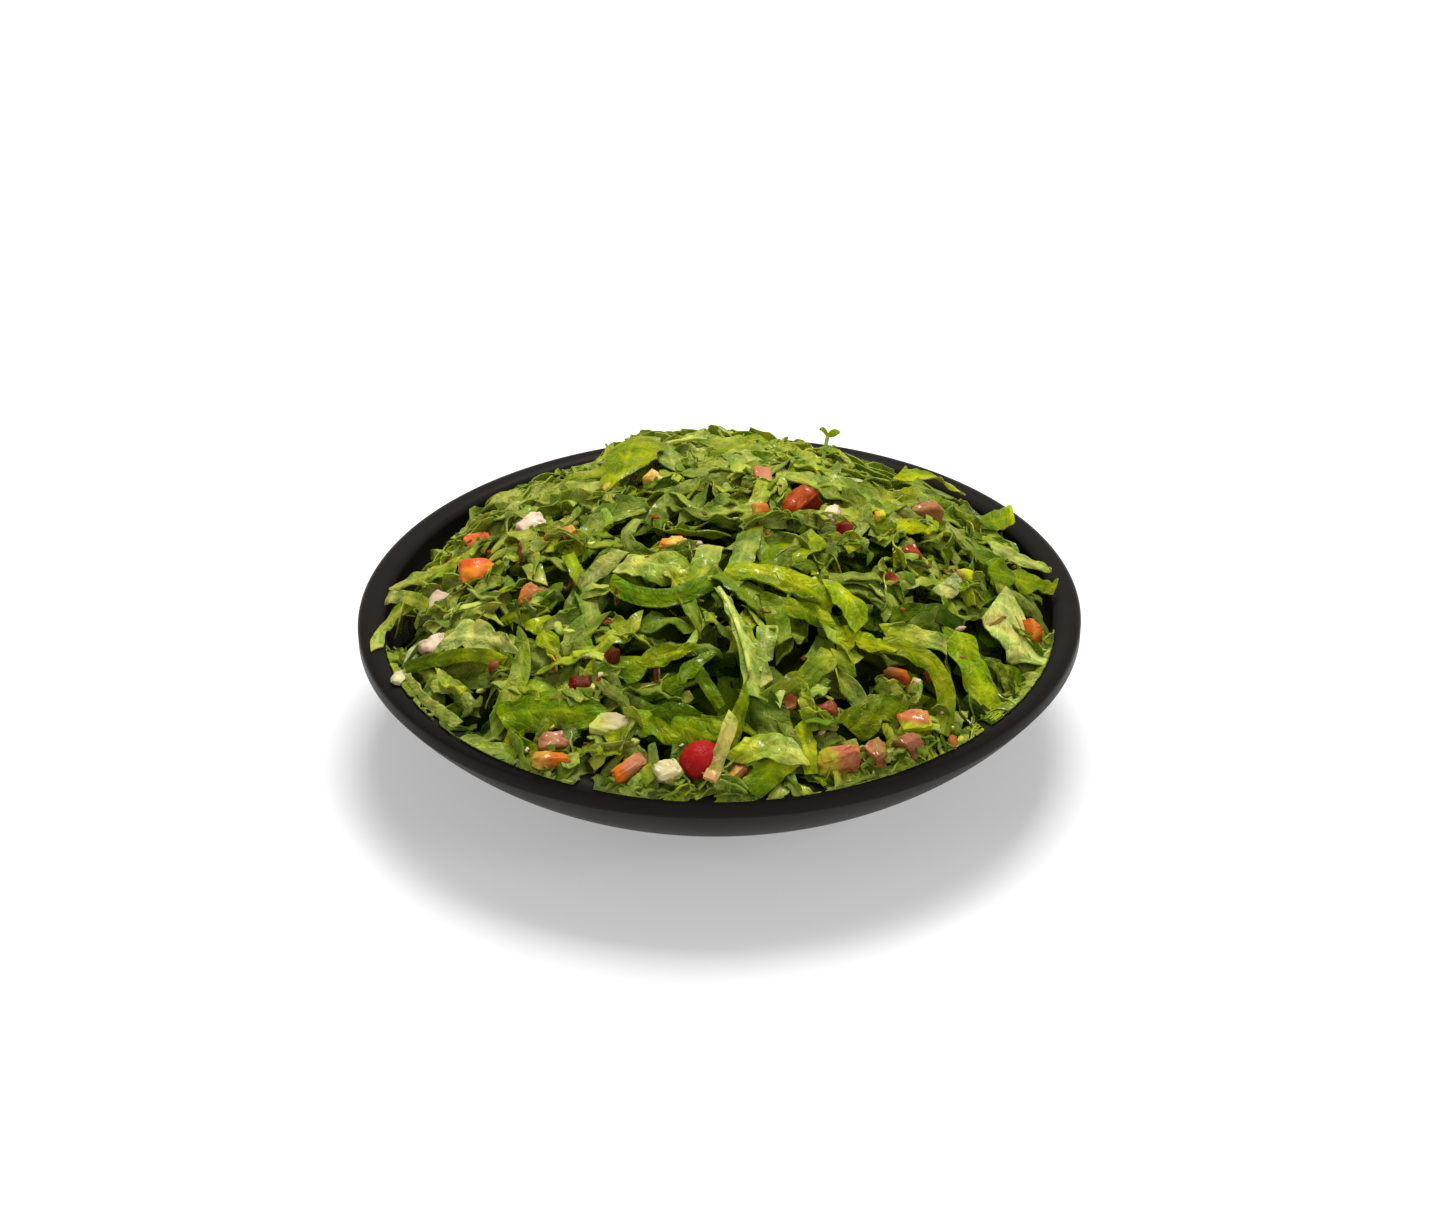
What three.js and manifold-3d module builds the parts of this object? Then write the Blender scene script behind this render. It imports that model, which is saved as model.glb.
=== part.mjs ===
// Dish of chopped arugula salad: a black coupe dish, the heap of salad in it, and the larger pieces
// of tomato and onion that lie in the heap. Millimetres, +Z up. The origin is the middle of the
// dish's foot, on the table, and -Y is the side that faces the person at the table.
import * as THREE from "three";
import { mergeVertices } from "three/addons/utils/BufferGeometryUtils.js";
import Module from "manifold-3d";

const wasm = await Module();
wasm.setup();

// ---- Driving dimensions ----

const DISH_RADIUS = 120; // at the outside of the lip
const DISH_HEIGHT = 49; // from the table to the top of the lip
const LIP_RISE = 2.8; // top of the lip over its widest line
const LIP_HALF_WIDTH = 4.7;
const LIP_DROP = 3.6; // upright band under the widest line
const WALL_ARC_RADIUS = 96; // the wall's outer side is one arc
const WALL_SLOPE = THREE.MathUtils.degToRad(55); // where the arc meets the lip
const WALL_THICKNESS = 5.5;
const INNER_ARC_END = THREE.MathUtils.degToRad(46); // slope where the inside turns up into the lip
const FOOT_RADIUS = 52;
const FOOT_WIDTH = 7;

const MOUND_RISE = 42; // top of the heap over the lip's widest line
const MOUND_EDGE = 112; // where the heap comes down to that line
const MOUND_FRONT_SPREAD = 7; // the heap lies this much further out at the front
const MOUND_FULLNESS = 2.6; // power of the dome: higher is flatter on top
const DENT = { x: -88, y: 40, depth: 10, spread: 34 }; // lower shoulder, at the back on the left
const LEAF_LAYER = 5; // thickness of the loose pieces over the packed core
const CORE_EDGE_INSET = 6;
const CORE_EDGE_LIMIT = 108.5; // the core stays inside the lip

const LEAF_THICKNESS = 1.1;
const LEAF_MIN_WIDTH = 8; // wider pieces are leaves, narrower ones are shreds
const SUNK = -1.6; // a piece's end lies this far below the top of the core
const FILLER_PLACES = 60; // places for plain shreds over the whole heap
const FILLER_REACH = 102; // radius that holds them
const FILLER_SPACING = 15; // none of them is this near to a piece that stands out

const CLEARANCE = 0.4; // gap left between neighbours

// ---- Fineness of the faceted surfaces ----

const DISH_SIDES = 64; // flats round the dish
const OUTER_WALL_STEPS = 6;
const INNER_WALL_STEPS = 4;
const LIP_STEPS = 5;
const CORE_SEGMENTS = 36;
const CORE_RINGS = 7;
const BED_RINGS = 5; // rings of the core's underside

// ---- Helpers ----

// Repeatable random numbers from 0 to 1 (a small multiplicative generator).
function randomFrom(seed) {
  let state = seed;
  return () => {
    state = (state * 48271) % 2147483647;
    return state / 2147483647;
  };
}

// A geometry as a solid that can be cut and joined.
function solidOf(geometry) {
  const bare = new THREE.BufferGeometry();
  bare.setAttribute("position", geometry.getAttribute("position"));
  if (geometry.index) bare.setIndex(geometry.index);
  const merged = mergeVertices(bare, 1e-4);
  return new wasm.Manifold(
    new wasm.Mesh({
      numProp: 3,
      vertProperties: new Float32Array(merged.attributes.position.array),
      triVerts: new Uint32Array(merged.index.array),
    }),
  );
}

// A solid as a geometry with flat faces.
function geometryOf(solid) {
  const mesh = solid.getMesh();
  const geometry = new THREE.BufferGeometry();
  geometry.setAttribute("position", new THREE.BufferAttribute(new Float32Array(mesh.vertProperties), 3));
  geometry.setIndex(new THREE.BufferAttribute(new Uint32Array(mesh.triVerts), 1));
  geometry.computeVertexNormals();
  return geometry;
}

// A closed surface from a grid of points: rows of equal length that close round on themselves, with
// the first and the last row each drawn together in one point.
function closedRound(rows) {
  const positions = rows.flat(2);
  const index = [];
  const count = rows[0].length;
  for (let i = 0; i + 1 < rows.length; i++) {
    for (let j = 0; j < count; j++) {
      const a = i * count + j;
      const b = i * count + ((j + 1) % count);
      index.push(a, a + count, b, b, a + count, b + count);
    }
  }
  const geometry = new THREE.BufferGeometry();
  geometry.setAttribute("position", new THREE.Float32BufferAttribute(positions, 3));
  geometry.setIndex(index);
  return geometry;
}

// ---- Dish ----

const rimZ = DISH_HEIGHT - LIP_RISE;
const lipCentreRadius = DISH_RADIUS - LIP_HALF_WIDTH;
const lipInnerRadius = DISH_RADIUS - 2 * LIP_HALF_WIDTH;
const arcCentreRadius = DISH_RADIUS - WALL_ARC_RADIUS * Math.sin(WALL_SLOPE);
const arcCentreZ = rimZ - LIP_DROP + WALL_ARC_RADIUS * Math.cos(WALL_SLOPE);
const innerArcRadius = WALL_ARC_RADIUS - WALL_THICKNESS;

// A point of an arc about the wall's centre, at a slope from the horizontal.
function wallPoint(radius, slope) {
  return new THREE.Vector2(arcCentreRadius + radius * Math.sin(slope), arcCentreZ - radius * Math.cos(slope));
}

// The lip's half ellipse, from the widest line over the top to the inside, raised by a gap.
function lipPoints(gap) {
  const points = [];
  for (let i = 0; i < LIP_STEPS; i++) {
    const turn = Math.PI * (i / LIP_STEPS);
    const radius = lipCentreRadius + (LIP_HALF_WIDTH + gap) * Math.cos(turn);
    points.push(new THREE.Vector2(radius, rimZ + (LIP_RISE + gap) * Math.sin(turn)));
  }
  return points;
}

// The inside of the dish from the lip down to the middle, raised by a gap.
function insidePoints(gap) {
  const arcEnd = wallPoint(innerArcRadius - gap, INNER_ARC_END);
  const lipSide = lipInnerRadius - gap;
  const corner = new THREE.Vector2(lipSide, arcEnd.y + Math.tan(INNER_ARC_END) * (lipSide - arcEnd.x));
  const turn = new THREE.QuadraticBezierCurve(new THREE.Vector2(lipSide, rimZ), corner, arcEnd);
  const points = turn.getPoints(3);
  for (let i = 1; i <= INNER_WALL_STEPS; i++) {
    points.push(wallPoint(innerArcRadius - gap, INNER_ARC_END * (1 - i / INNER_WALL_STEPS)));
  }
  points.push(new THREE.Vector2(0, arcCentreZ - innerArcRadius + gap));
  return points;
}

function dishGeometry() {
  const baseZ = arcCentreZ - WALL_ARC_RADIUS;
  const footSlope = Math.asin((FOOT_RADIUS - arcCentreRadius) / WALL_ARC_RADIUS);
  const profile = [
    new THREE.Vector2(0, baseZ),
    new THREE.Vector2(FOOT_RADIUS - FOOT_WIDTH, baseZ),
    new THREE.Vector2(FOOT_RADIUS - FOOT_WIDTH, 0),
    new THREE.Vector2(FOOT_RADIUS, 0),
  ];
  for (let i = 0; i <= OUTER_WALL_STEPS; i++) {
    const slope = THREE.MathUtils.lerp(footSlope, WALL_SLOPE, i / OUTER_WALL_STEPS);
    profile.push(wallPoint(WALL_ARC_RADIUS, slope));
  }
  profile.push(...lipPoints(0), ...insidePoints(0));
  return new THREE.LatheGeometry(profile, DISH_SIDES).rotateX(Math.PI / 2);
}

// What the food keeps out of: a thick ring whose top is the dish's lip and inside, raised by the gap.
function dishRoomGeometry() {
  const outside = DISH_RADIUS + 2;
  const below = -5;
  const profile = [
    new THREE.Vector2(0, below),
    new THREE.Vector2(outside, below),
    new THREE.Vector2(outside, rimZ),
    ...lipPoints(CLEARANCE),
    ...insidePoints(CLEARANCE),
  ];
  return new THREE.LatheGeometry(profile, DISH_SIDES).rotateX(Math.PI / 2);
}

// ---- The heap's shape ----

// How far out the heap reaches, in a direction from the middle.
function moundEdge(x, y) {
  const front = Math.max(0, -y / Math.max(Math.hypot(x, y), 1e-6));
  return MOUND_EDGE + MOUND_FRONT_SPREAD * front * front;
}

// Height of the heap's mean surface over the plan point x, y.
function moundZ(x, y) {
  const share = Math.min(Math.hypot(x, y) / moundEdge(x, y), 1.15);
  const dent = DENT.depth * Math.exp(-(Math.hypot(x - DENT.x, y - DENT.y) ** 2) / DENT.spread ** 2);
  return rimZ + MOUND_RISE * (1 - share ** MOUND_FULLNESS) - dent;
}

// Low lumps in the packed core.
function lumps(x, y) {
  return 0.9 * Math.sin(x / 9 + 1.3) * Math.cos(y / 8 - 0.4) + 0.7 * Math.sin((x + y) / 6.1);
}

function coreZ(x, y) {
  return moundZ(x, y) - LEAF_LAYER + lumps(x, y);
}

// The lowest that a piece may lie over a radius: on the lip where it reaches that far.
function lowestZ(radius) {
  return radius > lipInnerRadius - 3 ? DISH_HEIGHT + 2 * CLEARANCE : -Infinity;
}

// Height of the dish's inside over a radius, with a gap.
function insideZ(radius, gap) {
  const reach = innerArcRadius - gap;
  if (radius <= arcCentreRadius) return arcCentreZ - reach;
  return arcCentreZ - Math.sqrt(Math.max(reach ** 2 - (radius - arcCentreRadius) ** 2, 0));
}

// The packed middle of the salad: a dome on top, the inside of the dish underneath.
function coreSolid() {
  const rows = [];
  const ringAt = (share, height) => {
    const row = [];
    for (let j = 0; j < CORE_SEGMENTS; j++) {
      const turn = (2 * Math.PI * j) / CORE_SEGMENTS;
      const edge = Math.min(moundEdge(Math.cos(turn), Math.sin(turn)) - CORE_EDGE_INSET, CORE_EDGE_LIMIT);
      const x = share * edge * Math.cos(turn);
      const y = share * edge * Math.sin(turn);
      row.push([x, y, height(x, y)]);
    }
    return row;
  };
  for (let i = 0; i <= CORE_RINGS; i++) rows.push(ringAt(i / CORE_RINGS, coreZ));
  for (let i = 0; i <= BED_RINGS; i++) {
    rows.push(ringAt(1 - i / BED_RINGS, (x, y) => insideZ(Math.hypot(x, y), 2 * CLEARANCE)));
  }
  return solidOf(closedRound(rows));
}

// ---- Shreds and leaves ----

// Height between three lifts, at the start, the middle and the end of a piece.
function liftAt(lifts, t) {
  const [a, b, c] = lifts;
  return a * (1 - t) * (1 - 2 * t) + b * 4 * t * (1 - t) + c * t * (2 * t - 1);
}

// The middle line of a piece over the heap. It bows to one side, is lifted off the core at its start,
// middle and end, and lies on the lip where it reaches that far.
function leafLine({ from, to, width, bow = 0, lifts, roll = 0 }) {
  const run = new THREE.Vector2(to[0] - from[0], to[1] - from[1]);
  const sideways = new THREE.Vector2(-run.y, run.x).normalize();
  const leanReach = (width / 2) * Math.abs(Math.sin(THREE.MathUtils.degToRad(roll)));
  return (t) => {
    const sag = bow * 4 * t * (1 - t);
    const x = from[0] + run.x * t + sideways.x * sag;
    const y = from[1] + run.y * t + sideways.y * sag;
    const onLip = lowestZ(Math.hypot(x, y)) + LEAF_THICKNESS / 2 + leanReach;
    return new THREE.Vector3(x, y, Math.max(coreZ(x, y) + liftAt(lifts, t), onLip));
  };
}

// The width's share along a piece: a leaf swells and narrows, a shred only narrows a little.
function leafTaper(isLeaf, t) {
  return isLeaf ? 0.55 + 0.45 * Math.sin(Math.PI * (0.15 + 0.75 * t)) : 1 - 0.25 * t * t;
}

// The triangles of a thin sheet: its upper points in rows, then its lower points in the same order.
// Both faces are split alike, and walls close the four edges.
function sheetIndex(along, across) {
  const row = across + 1;
  const back = (along + 1) * row;
  const index = [];
  for (let i = 0; i < along; i++) {
    for (let j = 0; j < across; j++) {
      const a = i * row + j;
      index.push(a, a + row, a + 1, a + 1, a + row, a + row + 1);
      index.push(back + a, back + a + 1, back + a + row, back + a + 1, back + a + row + 1, back + a + row);
    }
  }
  const wall = (a, b) => index.push(a, b, back + a, b, back + b, back + a);
  for (let i = 0; i < along; i++) {
    wall((i + 1) * row, i * row);
    wall(i * row + across, (i + 1) * row + across);
  }
  for (let j = 0; j < across; j++) {
    wall(j, j + 1);
    wall(along * row + j + 1, along * row + j);
  }
  return index;
}

// One shred or leaf: a thin strip along its line. It leans by its roll, turns by its twist from end
// to end, and its blade has a wave.
function leafSolid(leaf) {
  const { width, roll = 0, twist = 0, wave = 0 } = leaf;
  const isLeaf = width > LEAF_MIN_WIDTH;
  const along = isLeaf ? 5 : 6;
  const across = isLeaf ? 2 : 1;
  const lineAt = leafLine(leaf);
  const upper = [];
  const lower = [];
  for (let i = 0; i <= along; i++) {
    const t = i / along;
    const forward = lineAt(t + 0.02).sub(lineAt(t - 0.02)).normalize();
    const lean = THREE.MathUtils.degToRad(roll + twist * (t - 0.5));
    const side = new THREE.Vector3(0, 0, 1).cross(forward).normalize().applyAxisAngle(forward, lean);
    const up = forward.clone().cross(side);
    for (let j = 0; j <= across; j++) {
      const s = (2 * j) / across - 1;
      const middle = lineAt(t)
        .addScaledVector(side, (s * width * leafTaper(isLeaf, t)) / 2)
        .addScaledVector(up, wave * Math.sin(5 * t + 2.6 * s));
      upper.push(middle.clone().addScaledVector(up, LEAF_THICKNESS / 2));
      lower.push(middle.clone().addScaledVector(up, -LEAF_THICKNESS / 2));
    }
  }
  const geometry = new THREE.BufferGeometry().setFromPoints([...upper, ...lower]);
  geometry.setIndex(sheetIndex(along, across));
  return solidOf(geometry);
}

// The pieces that stand out in the heap, by plan points in millimetres.
const standingOut = {
  back_crest_leaf: { from: [-40, 44], to: [-22, 52], width: 17, lifts: [SUNK, 12, 5], roll: -38, wave: 1.6 },
  top_flat_leaf: { from: [-8, 46], to: [24, 38], width: 15, lifts: [SUNK, 9, SUNK], roll: 8, wave: 1 },
  crest_rib: { from: [-20, 52], to: [0, 56], width: 4, lifts: [SUNK, 8, SUNK] },
  hook_ribbon: { from: [-33, -12], to: [-14, -40], width: 5, bow: -9, lifts: [SUNK, 8, SUNK], twist: 50 },
  pale_patch: { from: [-32, -40], to: [-8, -48], width: 11, lifts: [SUNK, 8, SUNK], roll: 15, wave: 0.8 },
  crescent: { from: [-34, -48], to: [-6, -50], width: 6, bow: -9, lifts: [SUNK, 8, SUNK], roll: 30 },
  short_block: { from: [0, -38], to: [-5, -53], width: 7, lifts: [SUNK, 10, 4], roll: -20 },
  grey_blade: { from: [-43, -51], to: [-30, -34], width: 5, lifts: [SUNK, 9, 5], roll: 35 },
  long_ribbon: { from: [3, -47], to: [40, -61], width: 7, bow: -3, lifts: [SUNK, 9, SUNK], roll: 24 },
  upright_patch: { from: [13, -25], to: [6, -46], width: 9, lifts: [SUNK, 9, 4], roll: 18, wave: 0.8 },
  broad_blade: { from: [14, -50], to: [33, -30], width: 11, lifts: [SUNK, 9, 5], roll: -14, wave: 1.2 },
  main_stem: { from: [-2, -56], to: [11, -91], width: 5, bow: 2, lifts: [SUNK, 10, 8] },
  stem_foot: { from: [11, -88], to: [-2, -112], width: 4.5, bow: 3, lifts: [7, 9, 6] },
  stem_leaf: { from: [14, -70], to: [18, -87], width: 9, lifts: [SUNK, 9, SUNK], roll: 26, wave: 1 },
  stem_side_leaf: { from: [12, -89], to: [20, -105], width: 9, lifts: [SUNK, 8, SUNK], roll: -22, wave: 1 },
  front_band: { from: [-27, -99], to: [6, -102], width: 11, bow: -2, lifts: [SUNK, 8, SUNK], roll: 14 },
  veined_leaf: { from: [-66, -77], to: [-38, -86], width: 12, lifts: [SUNK, 8, SUNK], roll: 10, wave: 1 },
  front_fold: { from: [5, -106], to: [23, -106], width: 8, lifts: [SUNK, 9, SUNK], roll: -18 },
  front_fold_tail: { from: [23, -104], to: [11, -113], width: 7, lifts: [SUNK, 7, 5], roll: 20 },
  crinkled_leaf: { from: [-30, -81], to: [4, -72], width: 13, lifts: [SUNK, 9, SUNK], roll: 12, wave: 1.6 },
  thin_blade: { from: [-10, -81], to: [2, -94], width: 4.5, lifts: [SUNK, 9, SUNK], roll: 25 },
  yellow_stem: { from: [-47, -71], to: [-20, -88], width: 3.5, bow: 2, lifts: [SUNK, 9, SUNK] },
  pale_left_leaf: { from: [-88, -40], to: [-62, -67], width: 12, lifts: [SUNK, 8, SUNK], roll: 12, wave: 1 },
  left_crescent: { from: [-98, -50], to: [-80, -79], width: 7, bow: -3, lifts: [SUNK, 6, SUNK], roll: 20 },
  left_blade: { from: [-89, -55], to: [-69, -70], width: 4.5, lifts: [SUNK, 9, 4], roll: 30 },
  bright_blade: { from: [-54, -52], to: [-51, -71], width: 9, lifts: [SUNK, 9, SUNK], roll: -16, wave: 1 },
  rim_ribbon: { from: [-66, -80], to: [-63, -94], width: 6, bow: 3, lifts: [SUNK, 8, SUNK], roll: 26 },
  right_fold_leaf: { from: [74, -54], to: [86, -75], width: 12, lifts: [SUNK, 9, SUNK], roll: -24, wave: 1 },
  right_pale_leaf: { from: [84, -37], to: [97, -52], width: 13, lifts: [SUNK, 8, 4], roll: -10, wave: 1 },
  arch_hook: { from: [57, -68], to: [66, -88], width: 6, bow: 8, lifts: [SUNK, 10, SUNK], roll: 20 },
  mid_right_leaf: { from: [37, -90], to: [57, -75], width: 13, lifts: [SUNK, 9, SUNK], roll: 14, wave: 1.6 },
  right_tip: { from: [88, 12], to: [97, 28], width: 7, lifts: [SUNK, 7, 9], roll: 30 },
  right_point: { from: [88, -2], to: [104, 8], width: 6, lifts: [SUNK, 7, 6], roll: -15 },
  jagged_right: { from: [89, -24], to: [107, -14], width: 11, lifts: [SUNK, 7, 5], roll: 18, wave: 1.2 },
  back_right_tip: { from: [60, 50], to: [78, 60], width: 8, lifts: [SUNK, 8, 8], roll: -30 },
  cream_rib_back: { from: [42, 34], to: [56, 46], width: 4, lifts: [SUNK, 9, 5] },
  grey_fold: { from: [74, -2], to: [90, -4], width: 9, lifts: [SUNK, 8, SUNK], roll: 20, wave: 1 },
  yellow_ribbon: { from: [57, -15], to: [73, -12], width: 5.5, lifts: [SUNK, 9, SUNK], roll: 15 },
  left_edge_tip: { from: [-88, 2], to: [-105, 10], width: 8, lifts: [SUNK, 7, 7], roll: 20 },
  left_rim_blade: { from: [-94, -28], to: [-107, -6], width: 4.5, lifts: [SUNK, 7, 6], roll: 40 },
  left_hook: { from: [-96, -18], to: [-103, -34], width: 5, bow: -5, lifts: [SUNK, 8, SUNK], roll: -20 },
  left_back_leaf: { from: [-72, 52], to: [-52, 44], width: 7, lifts: [SUNK, 8, 4], roll: 24 },
  left_back_edge: { from: [-84, 42], to: [-74, 56], width: 8, lifts: [SUNK, 7, 5], roll: -14 },
  left_shoulder_leaf: { from: [-98, 22], to: [-88, 38], width: 8, lifts: [SUNK, 7, 5], roll: 20 },
  green_ribbon: { from: [30, -55], to: [54, -50], width: 5.5, bow: -2, lifts: [SUNK, 8, SUNK], roll: 22 },
  right_ribbon: { from: [53, -55], to: [76, -47], width: 6, bow: 2, lifts: [SUNK, 8, SUNK], roll: 26 },
  bright_patch: { from: [38, -72], to: [53, -58], width: 11, lifts: [SUNK, 9, SUNK], roll: 10, wave: 1.4 },
  mid_ribbon: { from: [51, -65], to: [71, -60], width: 6, lifts: [SUNK, 8, SUNK], roll: 18 },
  small_upright: { from: [23, -95], to: [22, -109], width: 5, lifts: [SUNK, 8, 5], roll: 24 },
  cream_rib_left: { from: [-98, -34], to: [-100, -52], width: 5, lifts: [SUNK, 7, 3], roll: 10 },
};

// The little sprig that stands up behind the crest: a bent stalk with two small blades.
const sprig = [
  { from: [36, 35], to: [38, 43], width: 2.4, lifts: [SUNK, 8, 13] },
  { from: [37, 41], to: [44, 45], width: 3.5, lifts: [11, 14, 14], roll: 20 },
  { from: [38, 42], to: [34, 47], width: 2.6, lifts: [11.5, 15, 18], roll: 50 },
];

// ---- Larger pieces of tomato and onion ----

// Each piece: plan place, size along, across and upwards, and its turn about the upright, then its
// tilt. "over" is how far its middle lies over the heap's mean surface.
const chunks = {
  tomato_left_upper: { at: [-80, 9], size: [9, 8, 8], turn: 20, tilt: 20, over: 0 },
  tomato_left_orange: { at: [-77, -17], size: [14, 11, 8], turn: 12, tilt: 18, over: 0 },
  tomato_under_onion: { at: [-52, -15], size: [9, 7, 8], turn: 50, tilt: 15, over: -1 },
  tomato_in_leaf: { at: [-59, -42], size: [9, 8, 8], turn: 65, tilt: 25, over: -0.5 },
  tomato_top_wedge: { at: [26, -6], size: [16, 9, 9], turn: 48, tilt: 22, over: 0.5 },
  tomato_pale_middle: { at: [-14, -31], size: [9, 7, 8], turn: -15, tilt: 12, over: 0 },
  tomato_pale_top: { at: [-20, 12], size: [8, 7, 8], turn: 60, tilt: 25, over: 1 },
  tomato_back_right: { at: [67, 5], size: [14, 8, 8], turn: 18, tilt: 22, over: 0.5 },
  tomato_right_small: { at: [62, -23], size: [8, 7, 7], turn: 30, tilt: 12, over: 0 },
  tomato_right_edge: { at: [100, -33], size: [9, 6, 7], turn: -55, tilt: 15, over: 0 },
  tomato_front_dice: { at: [59, -90.3], size: [10, 9, 8], turn: 14, tilt: 22, over: 0 },
  tomato_front_wedge: { at: [35.5, -108], size: [14, 7, 8], turn: 14, tilt: 14, over: 0 },
  tomato_front_cube: { at: [47, -103.4], size: [8, 7, 7], turn: 40, tilt: 12, over: 0.5 },
  tomato_front_brown: { at: [56.5, -99.8], size: [8, 6, 7], turn: 25, tilt: 10, over: 0.8 },
  tomato_cherry: { at: [-6, -108.8], size: [14, 13, 12], turn: 30, tilt: 20, over: -0.5 },
  tomato_sliver: { at: [4.6, -112], size: [12, 5, 5], turn: 62, tilt: 8, over: 0.8 },
  tomato_front_slice: { at: [-27, -109.5], size: [13, 5, 6], turn: 42, tilt: 12, over: 0.5 },
  tomato_left_pink: { at: [-50, -96.5], size: [11, 7, 7], turn: 8, tilt: 18, over: 0 },
  tomato_left_orange_slice: { at: [-51, -103], size: [12, 4.5, 5], turn: -4, tilt: 6, over: 1.5 },
  tomato_deep_red: { at: [-42, -81], size: [9, 8, 8], turn: 0, tilt: 10, over: -1 },
  tomato_shaded: { at: [31, -92], size: [9, 7, 8], turn: 20, tilt: 10, over: -1 },
  onion_back_left: { at: [-61, -2], size: [10, 8, 8], turn: 25, tilt: 20, over: 0.5 },
  onion_top: { at: [37, -12], size: [8, 7, 8], turn: 60, tilt: 15, over: 1 },
  onion_left: { at: [-91, -23], size: [10, 7, 7], turn: 60, tilt: 20, over: 0 },
  onion_left_lower: { at: [-91, -42.5], size: [9, 8, 7], turn: 25, tilt: 15, over: 0.5 },
  onion_front: { at: [-33, -96], size: [12, 9, 7], turn: -18, tilt: 18, over: 0.8 },
  onion_front_dice: { at: [-16, -113], size: [8, 7, 7], turn: 20, tilt: 12, over: 0.5 },
};

const CHUNK_BULGE = 1.04; // the most that a face swells over its stated size
const CHUNK_DRAW = { 1: 1, 2: 0.9, 3: 0.78 }; // how far a face's middle, an edge and a corner stand out

// A cut piece: a box with drawn-in corners, a bulging top where the skin is, and uneven faces.
function chunkGeometry([length, breadth, height], seed) {
  const random = randomFrom(seed);
  const box = new THREE.BoxGeometry(2, 2, 2, 2, 2, 2);
  box.deleteAttribute("normal");
  box.deleteAttribute("uv");
  const geometry = mergeVertices(box);
  const position = geometry.getAttribute("position");
  for (let i = 0; i < position.count; i++) {
    const p = new THREE.Vector3().fromBufferAttribute(position, i);
    const sidesMet = Math.abs(p.x) + Math.abs(p.y) + Math.abs(p.z);
    p.multiplyScalar(CHUNK_DRAW[Math.round(sidesMet)] * (CHUNK_BULGE - 0.09 * random()));
    position.setXYZ(i, (p.x * length) / 2, (p.y * breadth) / 2, (p.z * height) / 2);
  }
  return geometry;
}

// The rounded half of a small tomato.
function roundTomatoGeometry([length, breadth, height]) {
  const ball = new THREE.SphereGeometry(1, 12, 8).rotateX(Math.PI / 2);
  ball.deleteAttribute("normal");
  ball.deleteAttribute("uv");
  const geometry = mergeVertices(ball, 1e-5);
  const position = geometry.getAttribute("position");
  for (let i = 0; i < position.count; i++) {
    const p = new THREE.Vector3().fromBufferAttribute(position, i);
    const z = Math.max(p.z, -0.55);
    position.setXYZ(i, (p.x * length) / 2, (p.y * breadth) / 2, (z * height) / 2);
  }
  return geometry;
}

const tomatoRed = new THREE.MeshStandardMaterial({ color: 0xc8452a, roughness: 0.3, metalness: 0 });
const onionWhite = new THREE.MeshStandardMaterial({ color: 0xe6d2b4, roughness: 0.35, metalness: 0 });

// One chunk in its place: half sunk in the loose leaves, or on the lip where it reaches that far.
function chunkMesh(name, { at: [x, y], size, turn, tilt, over }, seed) {
  const geometry = name === "tomato_cherry" ? roundTomatoGeometry(size) : chunkGeometry(size, seed);
  const mesh = new THREE.Mesh(geometry, name.startsWith("onion") ? onionWhite : tomatoRed);
  mesh.name = name;
  mesh.position.set(x, y, moundZ(x, y) + over - size[2] / 4);
  mesh.rotation.set(THREE.MathUtils.degToRad(tilt), 0, THREE.MathUtils.degToRad(turn));
  const lowest = new THREE.Box3().setFromObject(mesh, true).min.z;
  mesh.position.z += Math.max(0, lowestZ(Math.hypot(x, y) + size[0] / 2) - lowest);
  mesh.updateMatrixWorld(true);
  return mesh;
}

// The room round a chunk: a plain box that holds it with the clearance on every side.
function roomOf(mesh) {
  const sides = chunks[mesh.name].size.map((side) => side * CHUNK_BULGE + 2 * CLEARANCE);
  return solidOf(new THREE.BoxGeometry(...sides).applyMatrix4(mesh.matrixWorld));
}

// ---- The heap ----

// Plain shreds that fill the heap between the pieces that stand out: places on a sunflower spiral,
// without those that already have a piece close by.
function fillerShreds() {
  const random = randomFrom(4711);
  const between = (low, high) => low + (high - low) * random();
  const goldenTurn = Math.PI * (3 - Math.sqrt(5));
  const middles = Object.values(standingOut).map(({ from, to }) => from.map((v, k) => (v + to[k]) / 2));
  const shreds = [];
  for (let i = 0; i < FILLER_PLACES; i++) {
    const radius = FILLER_REACH * Math.sqrt((i + 0.5) / FILLER_PLACES);
    const x = radius * Math.cos(i * goldenTurn);
    const y = radius * Math.sin(i * goldenTurn);
    if (middles.some((middle) => Math.hypot(x - middle[0], y - middle[1]) < FILLER_SPACING)) continue;
    const heading = between(0, 2 * Math.PI);
    const half = between(8, 15);
    const step = [half * Math.cos(heading), half * Math.sin(heading)];
    shreds.push({
      from: [x - step[0], y - step[1]],
      to: [x + step[0], y + step[1]],
      width: between(5, 7.8),
      bow: between(-4, 4),
      lifts: [SUNK, between(4, 8), between(-1, 5)],
      roll: between(-30, 30),
      twist: between(-30, 30),
    });
  }
  return shreds;
}

// What is tried in turn for a piece that would cross the dish or a chunk: it is raised, moved towards
// the middle of the heap, or kept only in part from its start.
const TRIALS = [
  { raise: 0, inward: 0, keep: 1 },
  { raise: 1.5, inward: 0, keep: 1 },
  { raise: 0, inward: 3, keep: 1 },
  { raise: 1.5, inward: 1.5, keep: 0.8 },
  { raise: 3, inward: 1.5, keep: 1 },
  { raise: 1.5, inward: 6, keep: 1 },
  { raise: 3, inward: 4, keep: 0.7 },
  { raise: 1.5, inward: 0, keep: 0.55 },
];
const LEAST_HOLD = 0.4; // volume in mm3 that a piece shares with what holds it

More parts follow.
